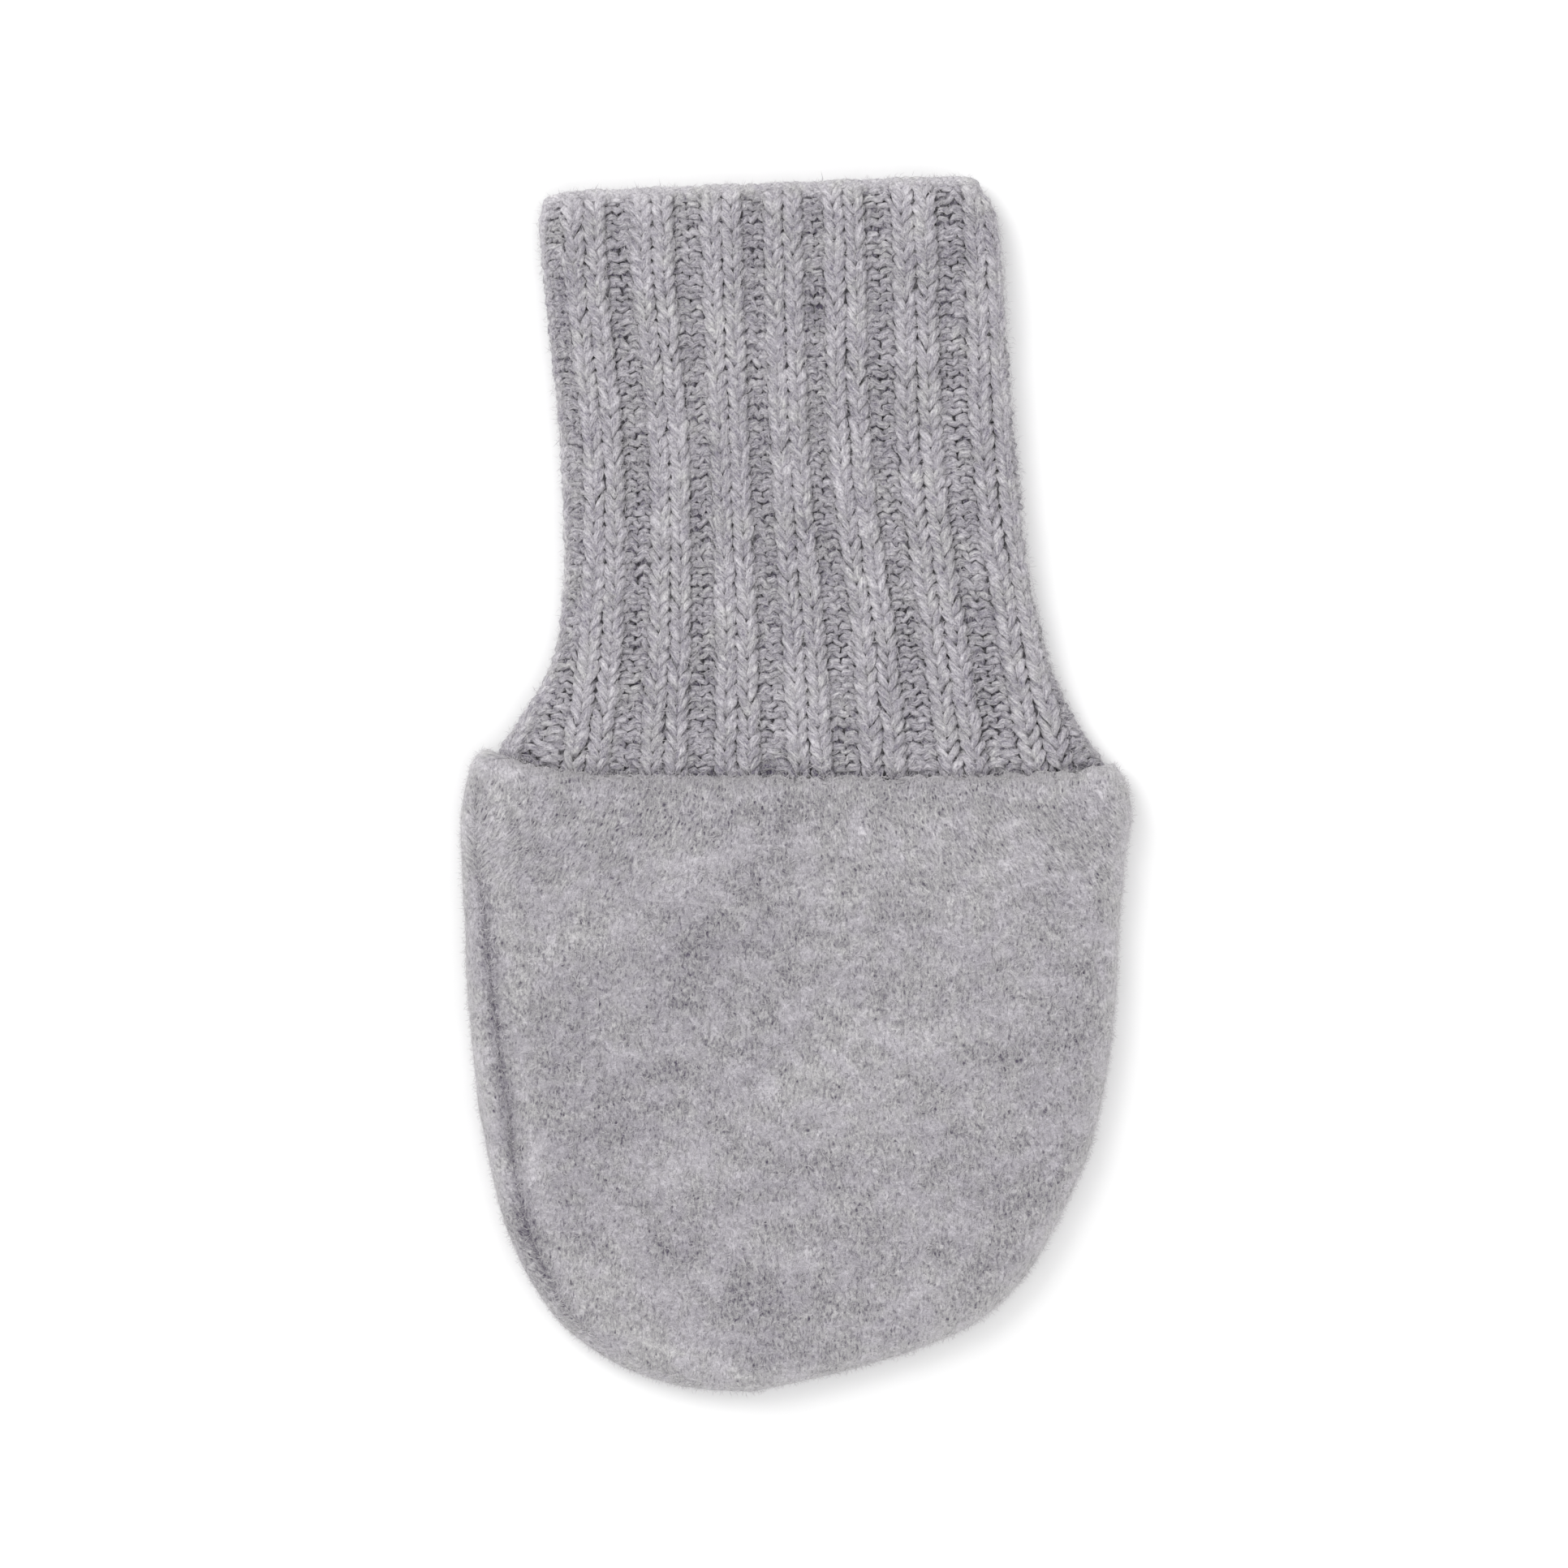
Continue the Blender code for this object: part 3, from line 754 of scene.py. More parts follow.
def on_cuff(course, wale, out):
    """Places of the cuff's cloth: rows up from the seam, columns round, mm out of its middle."""
    flat_course = np.clip(course, 0.0, FLAT_COURSES)
    fine = np.interp(centre_y[0] + flat_course * ROW_PITCH, centre_y, np.arange(len(centre_y)))
    low = np.minimum(fine.astype(int), len(centre_y) - 2)
    part = fine - low

    def read(values):
        return values[low] + (values[low + 1] - values[low]) * part

    left_x, left_y, right_x, right_y, top = (read(section_fine[:, k]) for k in range(5))
    settle = read(settling)
    column = wale - np.floor(wale / WALES) * WALES
    cell = np.minimum(column.astype(int), WALES - 1)
    start, end = (wale_starts[low, k] * (1 - part) + wale_starts[low + 1, k] * part
                  for k in (cell, cell + 1))
    unrolled = start + (end - start) * (column - cell)

    quarter = CUFF_RADIUS * np.pi / 2
    flat = right_x - left_x - 2 * CUFF_RADIUS
    left_arc = quarter + unrolled - left_x - CUFF_RADIUS
    right_arc = quarter - unrolled + right_x - CUFF_RADIUS
    past_under = right_arc < -quarter - flat / 2
    left_arc = np.where(past_under, -2 * quarter - flat - right_arc, left_arc)
    from_left = past_under | (left_arc < right_arc)
    arc = np.where(from_left, left_arc, right_arc)

    groove = 1 - rib_rise(wale)
    sunk = RIB_HEIGHT * groove * (LEAST_RIB + (1 - LEAST_RIB) * ramp(np.abs(arc), 0.0, quarter))
    sunk *= 1 - EDGE_FLATNESS * ramp(course, *EDGE_FLATTENS)**2
    tuck = np.clip(1 - course, 0.0, 2.0)**2 * ramp(np.abs(arc), 0.0, CUFF_RADIUS)
    turn = np.minimum(np.maximum(course - FLAT_COURSES, 0.0) * ROW_PITCH / EDGE_ROLL, MOST_TURN)
    from_roll = EDGE_ROLL - (CLOTH_MIDDLE - out)
    forward = from_roll * np.sin(turn) - SCALLOP * groove * np.minimum(turn, 1.0)
    depth = EDGE_ROLL - from_roll * np.cos(turn) + sunk + SEAM_TUCK * tuck
    depth -= (1 - PRESSED) * np.maximum(depth - EASY_DEPTH, 0.0)
    inward, height = roll(arc, depth, CUFF_RADIUS)
    x = np.where(from_left, left_x + inward, right_x - inward)
    across = (x - left_x) / (right_x - left_x)
    seam_x = seam_left_x + (seam_right_x - seam_left_x) * across
    sag = mouth_y(seam_x) + SEAM_GAP - seam_left_y - (seam_right_y - seam_left_y) * across
    y = left_y + (right_y - left_y) * across + settle * sag
    y = y + forward + np.minimum(course, 0.0) * ROW_PITCH
    y = y - CORNER_DROP * np.exp(-inward / CORNER_WIDTH) * ramp(course, *CORNER_ROWS)**2
    return np.stack([x, y, height * top / (2 * CUFF_RADIUS)], axis=-1)


# The tube of cloth behind the stitches, which closes the view between them.
CORE_START = 0.45               # under the middle of the cloth
CORE_THICKNESS = 0.6
SHADOW_DARK = (0.07, 0.064, 0.074, 1.0)
SHADOW_LIGHT = (0.30, 0.288, 0.31, 1.0)


def shadowed_wool():
    """The same yarn deep between the stitches, in painted shade: darker under the grooves than
    under the ribs.
    """
    material, shader, place = finish("shadowed_wool", 0.95, 0.0)
    depth = (place.cloud(1.6, 2.0) + place.marked("rise") * 0.45).between(0.3, 1.0)
    colour(shader, depth, SHADOW_DARK, SHADOW_LIGHT)
    return material


core_courses, core_wales = np.meshgrid(np.linspace(-0.8, COURSES + 0.2, 54),
                                       np.arange(3 * WALES + 1) / 3, indexing="ij")
core_map = np.stack([core_wales / (WALES + 1), core_courses / (COURSES + 1)], axis=-1)
core_courses, core_wales = core_courses[:, :-1], core_wales[:, :-1]
core_outer = on_cuff(core_courses, core_wales, -CORE_START)
core_outer[..., 2] = np.maximum(core_outer[..., 2], RESTING)
core_inner = on_cuff(core_courses, core_wales, -CORE_START - CORE_THICKNESS)
core = cloth_wall("cuff_tube", core_outer, core_inner, core_map)
mark(core.data, "rise", np.tile(rib_rise(core_wales).ravel(), 2))
merged(core, 0.01)
core.data.materials.append(shadowed_wool())

# One stitch's yarn, from the middle of its left foot to the top of its head: the long plain ones
# of the ribs, and the purl ones, whose feet and heads show as even bumps in the grooves.
PLAIN_STITCH = [
    # share of the column, share of the row, out of the cloth, thickness
    (0.000, -0.30, -1.00, 0.82),
    (0.180, -0.22, -0.95, 0.90),
    (0.380, 0.00, -0.50, 0.92),
    (0.455, 0.26, 0.50, 0.96),
    (0.365, 0.62, 1.00, 1.04),
    (0.245, 1.00, 1.05, 1.10),
    (0.130, 1.38, 0.80, 1.02),
    (0.105, 1.60, -0.10, 0.92),
    (0.260, 1.80, -0.85, 0.96),
    (0.500, 1.92, -1.00, 1.02),
]
PURL_STITCH = [
    # share of the column, share of the row, out of the cloth, thickness
    (0.000, -0.14, -1.00, 0.82),
    (0.180, -0.06, -0.95, 0.90),
    (0.370, 0.10, -0.50, 0.92),
    (0.450, 0.32, 0.50, 0.98),
    (0.365, 0.64, 1.00, 1.06),
    (0.245, 1.00, 1.05, 1.12),
    (0.145, 1.28, 0.75, 1.04),
    (0.130, 1.42, -0.20, 0.92),
    (0.270, 1.50, -0.85, 0.96),
    (0.500, 1.56, -1.00, 1.02),
]
POINT_STRAY = np.array([0.030, 0.045, 0.13, 0.06])      # of each of these, from stitch to stitch
WALE_STRAY, ROW_STRAY, THICKNESS_STRAY = 0.035, 0.06, 0.06
ROW_LAG = 0.35                  # how far the rows wander up and down together, in rows,
LAG_CHANGE = (0.83, 0.13)       # and how fast that changes along a row and from row to row
PURL_LOOSENESS = 1.6            # how much more the stitches in the grooves differ
PURL_THICKNESS = 0.85
SEAM_THICKER = 0.1              # the grooves' stitches by the seam, which is pressed together,
SEAM_THICKER_ROWS = 4           # over this many rows
THIN_STEP = 0.62                # the yarn's thickness where it steps from a rib into a groove
POINTS_PER_STITCH = 12
YARN_PER_STITCH = 8.0           # mm
YARN_SIDES = 5
YARN_UNEVENNESS = 0.8           # of its thickness
UNEVEN_SCALE = 900.0            # to the metre
FIRST_WALE = 43                 # the rows start and end on the underside
FIRST_COURSE = -1               # it lies under the lip of the hand
CAST_ON_COURSE = 49.0
CAST_ON_SWING = 0.22            # how far each of its strands swings up and down, in rows
CAST_ON_OUT, CAST_ON_LEAN = 1.25, 0.35
CAST_ON_THICKNESS = 0.95
stitch_random = np.random.default_rng(11)


def whole_stitch(half):
    """The other half of a stitch is its mirror image."""
    half = np.array(half)
    mirrored = half[-2:0:-1] * np.array([-1.0, 1.0, 1.0, 1.0]) + np.array([1.0, 0.0, 0.0, 0.0])
    return np.vstack([half, mirrored])


def course_path(course):
    """The yarn of one row of stitches, all the way round: course, wale, out and thickness."""
    points = []
    for wale in range(FIRST_WALE, FIRST_WALE + WALES):
        before, side = (1.0 if k % (2 * WALES_PER_RIB) < WALES_PER_RIB else -1.0
                        for k in (wale - 1, wale))
        own = whole_stitch(PLAIN_STITCH if side > 0 else PURL_STITCH)
        own *= np.array([1.0, 1.0, side, 1.0])
        own[0, 2] = -(side + before) / 2
        if side != before:
            own[0, 3] = THIN_STEP
        looseness, size = 1.0, 1.0
        if side < 0:
            looseness = PURL_LOOSENESS
            size = PURL_THICKNESS + SEAM_THICKER * max(0.0, 1 - course / SEAM_THICKER_ROWS)
        own += stitch_random.normal(0.0, 1.0, own.shape) * POINT_STRAY
        own[:, 3] *= size + looseness * stitch_random.normal(0.0, THICKNESS_STRAY)
        lag = noise.noise(Vector((wale % WALES * LAG_CHANGE[0], course * LAG_CHANGE[1], 3.7)))
        own[:, 1] += looseness * stitch_random.normal(0.0, ROW_STRAY) + ROW_LAG * lag
        own[:, 0] += looseness * stitch_random.normal(0.0, WALE_STRAY) + wale
        points.append(own)
    wales, courses, out, thickness = np.vstack(points).T
    return courses + course, wales, out, thickness


def cast_on_path(strand):
    """One of the two strands of yarn that twist round each other along the wrist edge."""
    wale = np.arange(4 * WALES) / 4 + FIRST_WALE
    turn = 2 * np.pi * wale + np.pi * strand
    course = CAST_ON_COURSE + CAST_ON_SWING * np.cos(turn)
    out = CAST_ON_OUT + CAST_ON_LEAN * np.sin(turn)
    return course, wale, out, np.full(len(wale), CAST_ON_THICKNESS)


def evenly(path, count):
    """A closed path through these points, smooth, with its points a like distance apart.

    The first three columns are the place, and the others go along with it.
    """
    places = np.linspace(0, len(path), 8 * len(path), endpoint=False)
    curve = smooth_curve(np.vstack([path[-1:], path, path[:2]]), places)
    curve = np.vstack([curve, curve[:1]])
    way = np.cumsum(np.linalg.norm(np.diff(curve[:, :3], axis=0), axis=1))
    way = np.concatenate([[0.0], way])
    wanted = np.linspace(0, way[-1], count, endpoint=False)
    return np.stack([np.interp(wanted, way, column) for column in curve.T], axis=1)


def new_tree(name, inputs):
    """A Geometry Nodes tree with these named inputs, its inputs as Shades and its output node."""
    tree = bpy.data.node_groups.new(name, "GeometryNodeTree")
    tree.interface.new_socket("Geometry", in_out="OUTPUT", socket_type="NodeSocketGeometry")
    for label, kind in {"Geometry": "Geometry", **inputs, "Material": "Material"}.items():
        tree.interface.new_socket(label, in_out="INPUT", socket_type="NodeSocket" + kind)
    source = tree.nodes.new("NodeGroupInput")
    given = {socket.name: Shade(tree, socket) for socket in source.outputs if socket.name}
    return given, tree.nodes.new("NodeGroupOutput")


def held(shape, name, kind="FLOAT"):
    """What the points of a shape hold under this name, inside a tree."""
    return shape.node("GeometryNodeInputNamedAttribute", {"data_type": kind}, {"Name": name})


def holding(shape, name, value, kind="FLOAT", domain="POINT"):
    return shape.node("GeometryNodeStoreNamedAttribute", {"data_type": kind, "domain": domain},
                      {"Geometry": shape, "Name": name, "Value": value})


def ended(shape, given, end):
    """Ends a tree with real faces, in the piece's material."""
    done = shape.node("GeometryNodeSetMaterial", None,
                      {"Geometry": shape, "Material": given["Material"]})
    connect(done, end.inputs[0])
    return given["Geometry"].tree


def grown(piece, tree, values, name):
    """Runs a tree on a piece with these values and returns the result as a plain new piece."""
    modifier = piece.modifiers.new(tree.name, "NODES")
    modifier.node_group = tree
    for item in tree.interface.items_tree:
        if item.in_out == "INPUT" and item.name in values:
            modifier[item.identifier] = values[item.name]
    depsgraph = bpy.context.evaluated_depsgraph_get()
    mesh = bpy.data.meshes.new_from_object(piece.evaluated_get(depsgraph), depsgraph=depsgraph)
    mesh.name = name
    piece.modifiers.clear()
    bpy.data.objects.remove(piece, do_unlink=True)
    return new_piece(name, mesh)


def spun_yarn():
    """Tree that turns a path into yarn of uneven thickness."""
    given, end = new_tree("yarn", {"Radius": "Float", "Sides": "Int", "Unevenness": "Float"})
    path = given["Geometry"].node("GeometryNodeMeshToCurve", None, {"Mesh": given["Geometry"]})
    ring = path.node("GeometryNodeCurvePrimitiveCircle", {"mode": "RADIUS"},
                     {"Resolution": given["Sides"], "Radius": given["Radius"]})
    index = path.node("GeometryNodeInputIndex")
    ring = holding(ring, "around", index.maths("DIVIDE", index, given["Sides"]))
    uneven = path.node("GeometryNodeInputPosition").cloud(UNEVEN_SCALE, 1.0)
    thickness = held(path, "thickness") * (1.0 + (uneven - 0.5) * given["Unevenness"])
    tube = path.node("GeometryNodeCurveToMesh", None,
                     {"Curve": path, "Profile Curve": ring, "Scale": thickness})
    smooth = tube.node("GeometryNodeSetShadeSmooth", None, {"Geometry": tube})
    whole = smooth.node("GeometryNodeRealizeInstances", None, {"Geometry": smooth})
    return ended(whole, given, end)


YARN_DARK = (0.098, 0.082, 0.132, 1.0)
YARN_PATCHES = [
    # drawn out by, to the mm, detail, roughness, share of the colour, share of the relief
    ((1.0, 1.0, 1.0), 0.12, 1.0, 1.0, 0.44, 0.0),
    ((1.0, 1.0, 1.0), 0.5, 3.0, 1.0, 0.66, 0.0),
    ((1.0, 1.0, 1.0), 4.0, 2.0, 0.9, 0.8, 0.6),
]
TWIST = 0.9                     # radians of twist for each mm of yarn
STRAND_WIDTH = 0.5
DEEP_PAINTED_SHADE = 0.42              # painted shade: how much darker the yarn is coloured where it lies deep in the cloth
RIB_SPARED = 0.60               # how much less of that painted shade the raised ribs get
WRIST_PAINTED_LIGHT = 0.6                 # painted light on the wrist edge, where its down catches the light: how much of that shade it takes off,
WRIST_LIGHT_ROWS = (46.2, 2.6)    # from which row on and over how many
SEAM_PAINTED_SHADE = 0.5                # and how much painted shade darkens it where it runs into the seam,
SEAM_SHADE_ROWS = 0.9           # over this many rows
CELLS_ACROSS = 18               # of the yarn's flat map: one cell for each stitch
CELL_ALONG, CELL_ROUND = (0.04, 0.92), (0.06, 0.88)     # start and width of what is used of it


def yarn_wool():
    """Light grey melange yarn: fibres run along it with a slight twist."""
    material, shader, place = finish("yarn_wool", 0.95, 0.45)
    strand = place.marked("strand", "Vector")
    streaks = strand.stretched(1.0, 1.0, 0.26).cloud(2.8, 2.0, 0.7).between(0.36, 0.64)
    shade, relief = patched(place, YARN_PATCHES)
    fine = strand.stretched(1.0, 1.0, 0.22).cloud(6.5, 2.0, 0.8)
    # Painted shade: the inner mark colours the yarn darker deep in the cloth and by the seam, and
    # paler with painted light on the wrist edge.
    lightness = (0.55 + shade + (fine - 0.5) + (streaks - 0.5) * 0.34
                 + threads(place, [(0.9, 3.0)]) * 0.06 - place.marked("inner") * DEEP_PAINTED_SHADE)
    colour(shader, lightness, YARN_DARK, tinted(place, 0.30, 0.58))
    emboss(shader, relief + fine * 0.7 + streaks * 0.5, 0.9, 0.24)
    return material


def mark_yarn(piece):
    """Gives the yarn its strand coordinates, and a map with a small cell for each stitch."""
    mesh = piece.data
    along, around = np.empty((2, len(mesh.vertices)), np.float32)
    mesh.attributes["along"].data.foreach_get("value", along)
    mesh.attributes["around"].data.foreach_get("value", around)
    turn = 2 * np.pi * around + TWIST * along
    strand = np.stack([STRAND_WIDTH * np.cos(turn), STRAND_WIDTH * np.sin(turn), along], axis=1)
    mark(mesh, "strand", strand, "FLOAT_VECTOR")
    corner = np.empty(len(mesh.loops), np.int32)
    mesh.loops.foreach_get("vertex_index", corner)
    corner = corner.reshape(-1, 4)
    stitch = along[corner] / YARN_PER_STITCH
    past_end = (stitch.max(axis=1) - stitch.min(axis=1) > 1.5)[:, None] & (stitch % WALES < 1)
    stitch = np.where(past_end, stitch + WALES, stitch)
    round_it = around[corner]
    round_it = np.where((round_it.max(axis=1) > 0.7)[:, None] & (round_it < 0.01), 1.0, round_it)
    cell = np.floor(stitch.mean(axis=1)).astype(int)
    within = np.clip(stitch - cell[:, None], 0.0, 1.0)
    cell -= cell.min()
    cells_up = cell.max() // CELLS_ACROSS + 1
    u = ((cell % CELLS_ACROSS)[:, None] + CELL_ALONG[0] + CELL_ALONG[1] * within) / CELLS_ACROSS
    v = ((cell // CELLS_ACROSS)[:, None] + CELL_ROUND[0] + CELL_ROUND[1] * round_it) / cells_up
    map_flat(mesh, np.stack([u, v], axis=-1))


yarn_tree = spun_yarn()
yarn_finish = yarn_wool()
knit_pieces = []
yarn_rows = [course_path(course) for course in range(FIRST_COURSE, COURSES)]
yarn_rows += [cast_on_path(0), cast_on_path(1)]
BANDS = [(0, 13), (13, 26), (26, 39), (39, len(yarn_rows))]
for band, (first, last) in enumerate(BANDS, 1):
    paths, edges = [], []
    for number in range(first, last):
        course, wale, out, thickness = yarn_rows[number]
        # inner: painted shade deep in the cloth and by the seam, less painted light on the wrist
        # edge
        inner = np.clip(0.5 - 0.5 * out, 0.0, 1.0)**2 * (1 - RIB_SPARED * rib_rise(wale))
        inner -= WRIST_PAINTED_LIGHT * ramp(course, *WRIST_LIGHT_ROWS)
        inner += SEAM_PAINTED_SHADE * (1 - ramp(course, 0.0, SEAM_SHADE_ROWS))
        path = np.column_stack([on_cuff(course, wale, out * LOOP_DEPTH), inner, thickness])
        path = evenly(path, WALES * POINTS_PER_STITCH)
        points = np.arange(len(path))
        base = len(paths) * len(path)
        edges.append(np.stack([base + points, base + (points + 1) % len(path)], axis=1))
        along = (points / POINTS_PER_STITCH + number * WALES) * YARN_PER_STITCH
        paths.append(np.column_stack([path, along]))
    paths = np.vstack(paths)
    paths[:, 2] = np.maximum(paths[:, 2], RESTING + 1.25 * YARN_RADIUS * paths[:, 4])
    mesh = new_mesh("yarn_path", paths[:, :3], np.vstack(edges).tolist(), [])
    for name, values in zip(("inner", "thickness", "along"), paths[:, 3:].T):
        mark(mesh, name, values)
    knit = grown(new_piece("yarn_path", mesh), yarn_tree,
                 {"Radius": YARN_RADIUS * MM, "Sides": YARN_SIDES, "Unevenness": YARN_UNEVENNESS,
                  "Material": yarn_finish}, "cuff_stitches_%d" % band)
    mark_yarn(knit)
    knit_pieces.append(knit)

# ---------------------------------------------------------------------------------------------
# Nap: the loose ends of wool that brushing raises on the hand, and the hairs of the cuff's
# yarn. They lie nearly flat on the cloth and stand out as a short down at its outline.

FIBRE_TIP = (1.0, -0.14, 0.04)
FIBRE_BEND = (0.48, 0.13, 0.08)
FIBRE_BOW = 0.20                # how far a lying fibre may bow below its two ends, to its length
FULL_TURN = 6.2832
LEAN = 1.3                      # radians that a fibre may lean over on its side
SHORTER = (1.2, 0.6)            # times the length where few grow, and how much less where many do
LIES_FLAT = (-0.95, -0.4)       # how far a surface faces up where its fibres start to lift
SHORTEST = 0.4                  # mm
CLEARANCE = 0.06                # between a fibre and the table
EDGE_TURN = 0.3                 # how far a surface has turned from flat where the nap is thickest
UNDERSIDE = (-0.9, 0.3)         # how far it faces up where the nap starts, and over how much
HAND_FIBRES = (1.8, 0.055, (0.0, 75.0))         # longest, width, least and most lift
CUFF_FIBRES = (2.2, 0.05, (-8.0, 70.0))
HAND_FLAT_NAP = 0.22            # share of the edges' nap on the flat front
GROOVE_NAP, RIB_NAP = 0.10, 0.30        # and on the cuff, in the grooves and more on the ribs
MOUTH_NAP_REACH = 1.0           # how far below the seam the thicker down at the mouth starts
HAIRS_OUT = 1.05                # how far out of the cuff's cloth its hairs start, in mm


def loose_fibre(width):
    """A bent hair along +X: a closed sliver of six faces, 1 long and this wide at its middle."""
    x, y, z = FIBRE_BEND
    ring = [(x, y + 0.5 * width * np.cos(a), z + 0.5 * width * np.sin(a)) for a in (0.5, 2.6, 4.7)]
    mesh = bpy.data.meshes.new("fibre")
    faces = [(0, 2, 1), (0, 3, 2), (0, 1, 3), (4, 1, 2), (4, 2, 3), (4, 3, 1)]
    mesh.from_pydata([(0.0, 0.0, 0.0), *ring, FIBRE_TIP], [], faces)
    corners = []
    for number, face in enumerate(faces):
        column = number % 3
        corners += [((column + 0.5) / 3, 0.05 if face[0] == 0 else 0.95),
                    ((column + 0.1) / 3, 0.5), ((column + 0.9) / 3, 0.5)]
    map_flat(mesh, corners)
    return new_piece("fibre", mesh)


def nap_tree():
    """Tree that scatters fibres over a surface, each turned, tilted and sized at random.

    Fibres lie flat where the surface faces the table, and the ones that would go into it are
    left out.
    """
    given, end = new_tree("nap", {
        "Fibre": "Object", "Density": "Float", "Shortest": "Float", "Longest": "Float",
        "Least Lift": "Float", "Most Lift": "Float", "Table": "Float", "Seed": "Int",
        "Cells": "Int"})
    growth = held(given["Geometry"], "growth")
    points = growth.node("GeometryNodeDistributePointsOnFaces", {"distribute_method": "RANDOM"},
                         {"Mesh": given["Geometry"], "Density": given["Density"] * growth,
                          "Seed": given["Seed"]})

    def chance(low, high, number):
        return points.node("FunctionNodeRandomValue", {"data_type": "FLOAT"},
                           {2: low, 3: high, "Seed": given["Seed"] + number}, 1)

    def turned(start, *angles):
        spin = start.node("FunctionNodeEulerToRotation", None, {"Euler": start.vector(*angles)})
        return start.node("FunctionNodeRotateRotation", {"rotation_space": "LOCAL"},
                          {"Rotation": start, "Rotate By": spin})

    off_table = points.node("ShaderNodeMapRange", None, {
        "Value": points.other("Normal").part(2), "From Min": LIES_FLAT[0],
        "From Max": LIES_FLAT[1]})
    lift = chance(0.0, 1.0, 2)
    lift = given["Least Lift"] + (given["Most Lift"] - given["Least Lift"]) * lift * lift
    rotation = turned(points.other("Rotation"), 0.0, 0.0, chance(0.0, FULL_TURN, 1))
    rotation = turned(rotation, 0.0, 0.0 - lift * off_table, 0.0)
    rotation = turned(rotation, chance(-LEAN, LEAN, 3), 0.0, 0.0)
    size = chance(0.0, 1.0, 4)
    length = given["Shortest"] + (given["Longest"] - given["Shortest"]) * size * size
    length = length * (SHORTER[0] - SHORTER[1] * growth)
    tip = rotation.node("FunctionNodeRotateVector", None, {
        "Vector": length.vector(*(length * way for way in FIBRE_TIP)), "Rotation": rotation})
    drop = tip.part(2).maths("MINIMUM", tip.part(2), 0.0) - length * FIBRE_BOW
    height = points.node("GeometryNodeInputPosition").part(2)
    clear = points.node("FunctionNodeCompare", {"data_type": "FLOAT", "operation": "GREATER_THAN"},
                        {"A": height + drop, "B": given["Table"]})
    fibre = points.node("GeometryNodeObjectInfo", {"transform_space": "ORIGINAL"},
                        {"Object": given["Fibre"]}, "Geometry")
    laid = points.node("GeometryNodeInstanceOnPoints", None,
                       {"Points": points, "Selection": clear, "Instance": fibre,
                        "Rotation": rotation, "Scale": length.vector(length, length, length)})
    numbered = holding(laid, "fibre", points.node("GeometryNodeInputIndex"), domain="INSTANCE")
    whole = numbered.node("GeometryNodeRealizeInstances", None, {"Geometry": numbered})

    # Each fibre has a cell of its own on the flat map.
    number, cells = held(whole, "fibre"), given["Cells"]
    row = number.maths("FLOOR", number.maths("DIVIDE", number, cells))
    corner = number.vector(number.maths("MODULO", number, cells), row, 0.0)
    corner = held(whole, "OFBake", "FLOAT_VECTOR").moved(corner)
    spread = corner.node("ShaderNodeVectorMath", {"operation": "SCALE"},
                         {0: corner, "Scale": cells.maths("DIVIDE", 1.0, cells)})
    return ended(holding(whole, "OFBake", spread, "FLOAT2", "CORNER"), given, end)


def hair_wool():
    """Single wool fibres, some pale and some darker."""
    material, shader, place = finish("hair_wool", 0.9, 0.5)
    number = place.marked("fibre")
    chance = number.node("ShaderNodeTexWhiteNoise", {"noise_dimensions": "1D"}, {"W": number})
    # Painted light: fibres are coloured paler where they grow thickest, as on the rolled edges and
    # the ribs.
    lightness = (0.25 + chance * 0.30 + place.cloud(0.16, 2.0) * 0.20
                 + place.marked("growth") * 0.24)
    colour(shader, lightness, WOOL_DARK, WOOL_LIGHT)
    return material


hair_finish = hair_wool()
nap = nap_tree()


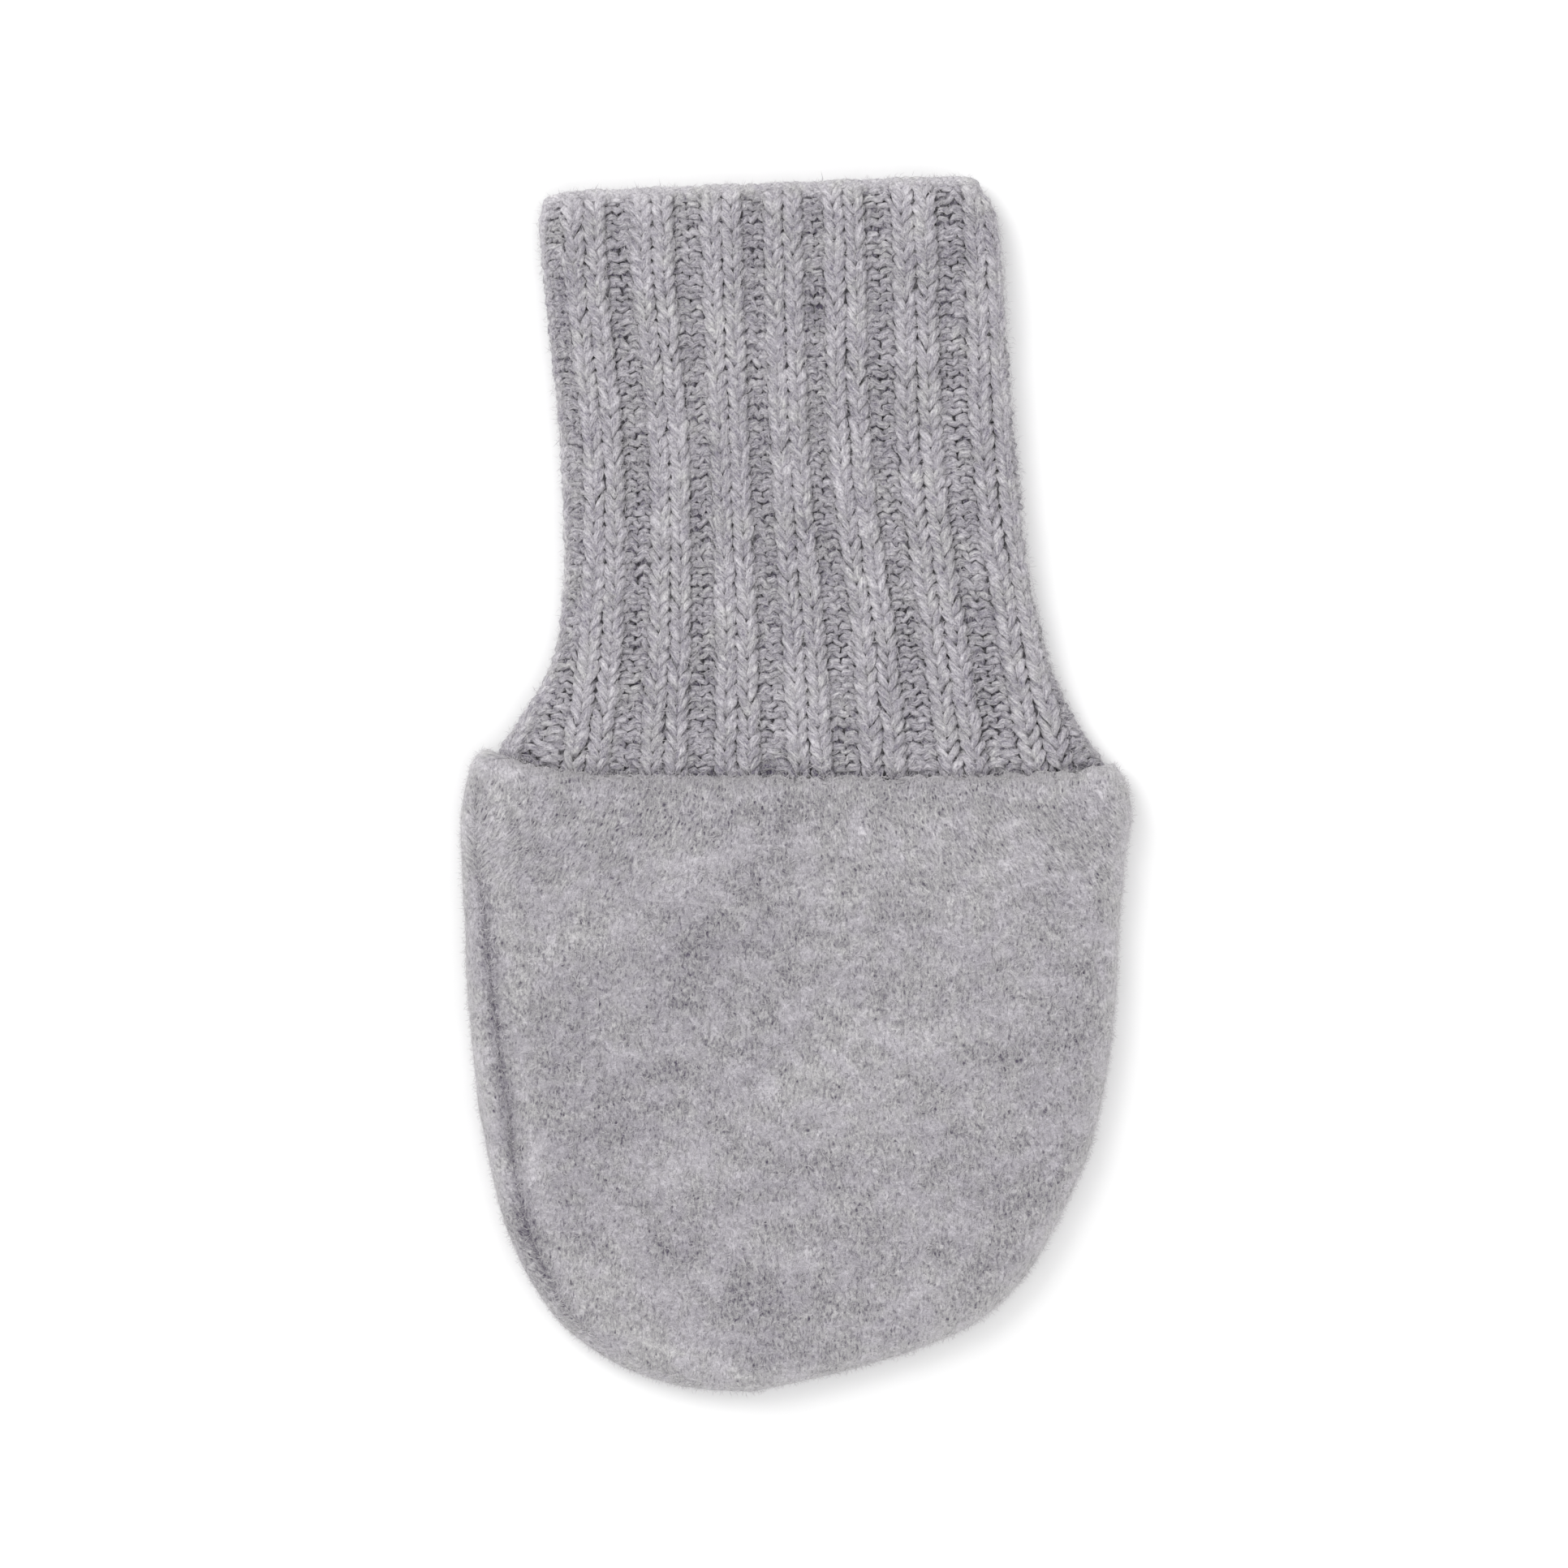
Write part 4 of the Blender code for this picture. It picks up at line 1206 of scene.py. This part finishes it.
def napped(places, share, name, count, seed, longest, width, lift):
    """A piece of about this many fibres on the surface through a grid of points.

    They grow thickest on the rolled edges, where nothing has pressed them flat, and the flat
    front has this share of that. None grow where the cloth lies on the table. Lengths and
    widths are in mm and lifts in degrees.
    """
    number = np.arange(places.shape[0] * places.shape[1]).reshape(places.shape[:2])
    mesh = new_mesh("nap_surface", places.reshape(-1, 3), [], squares(number).tolist())
    across = np.cross(np.gradient(places, axis=0), np.gradient(places, axis=1))
    faces_up = -across[..., 2] / np.maximum(np.linalg.norm(across, axis=-1), 1e-9)
    turned = ramp(1 - np.abs(faces_up), 0.0, EDGE_TURN)
    growth = (share + (1 - share) * turned) * ramp(faces_up, *UNDERSIDE)
    growth = growth.ravel().astype(np.float32)
    mark(mesh, "growth", growth)
    area = sum(face.area * float(growth[face.vertices[0]]) for face in mesh.polygons)
    fibre = loose_fibre(width / (SHORTEST + (longest - SHORTEST) / 3))
    made = grown(new_piece("nap_surface", mesh), nap, {
        "Fibre": fibre, "Density": count / area, "Shortest": SHORTEST * MM,
        "Longest": longest * MM, "Least Lift": np.radians(lift[0]),
        "Most Lift": np.radians(lift[1]), "Table": CLEARANCE * MM, "Seed": seed,
        "Cells": int(np.ceil(np.sqrt(count * 1.1))), "Material": hair_finish}, name)
    bpy.data.objects.remove(fibre, do_unlink=True)
    return made


lip_x, lip_in = np.meshgrid(np.linspace(-38.5, 40.0, 300), np.linspace(-0.25, MOUTH_NAP_REACH, 8))
lip_places = np.stack([lip_x, mouth_y(lip_x) - lip_in, 2 * EDGE_RADIUS - lip_dip(lip_in)], axis=-1)

hand_nap = []
for row in (
        # surface, share on the flat, name, number of fibres, seed
        (front_places[:, ::-1], HAND_FLAT_NAP, "front_nap", 30000, 3),
        (back_places, HAND_FLAT_NAP, "back_nap", 9000, 4),
        (lip_places[::-1], 1.0, "mouth_nap", 3500, 7)):
    hand_nap.append(napped(*row, *HAND_FIBRES))

cuff_nap = []
for start, end, *row in (
        # first and last column of stitches, name, number of fibres, seed
        (-6.0, 32.0, "front_hairs", 29000, 5),
        (32.0, 54.0, "back_hairs", 3500, 6)):
    courses, wales = np.meshgrid(np.linspace(0.1, COURSES + 0.4, 100),
                                 np.linspace(start, end, 150), indexing="ij")
    places = on_cuff(courses, wales, HAIRS_OUT)
    places[..., 2] = np.maximum(places[..., 2], RESTING)
    cuff_nap.append(napped(places, GROOVE_NAP + RIB_NAP * rib_rise(wales), *row, *CUFF_FIBRES))

# ---------------------------------------------------------------------------------------------
# What rides on what, the solids that the pieces replace hidden, and the cuff's flat size.

for panel, node, cut, area, down in (
        (front, "hand_front", front_cut, front_area, [hand_nap[0], hand_nap[2]]),
        (back, "hand_back", back_cut, back_area, [hand_nap[1]])):
    for piece in [panel] + down:
        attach(piece, "root")
    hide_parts(node)

around_cuff = wale_starts[:, -1] - wale_starts[:, 0]
cuff_length = (COURSES * ROW_PITCH) * MM
cuff_area = float(np.trapz(around_cuff, centre_y) + around_cuff[-1] * 2 * ROW_PITCH) * MM * MM
for piece in [core] + knit_pieces + cuff_nap:
    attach(piece, "root")
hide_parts("cuff")
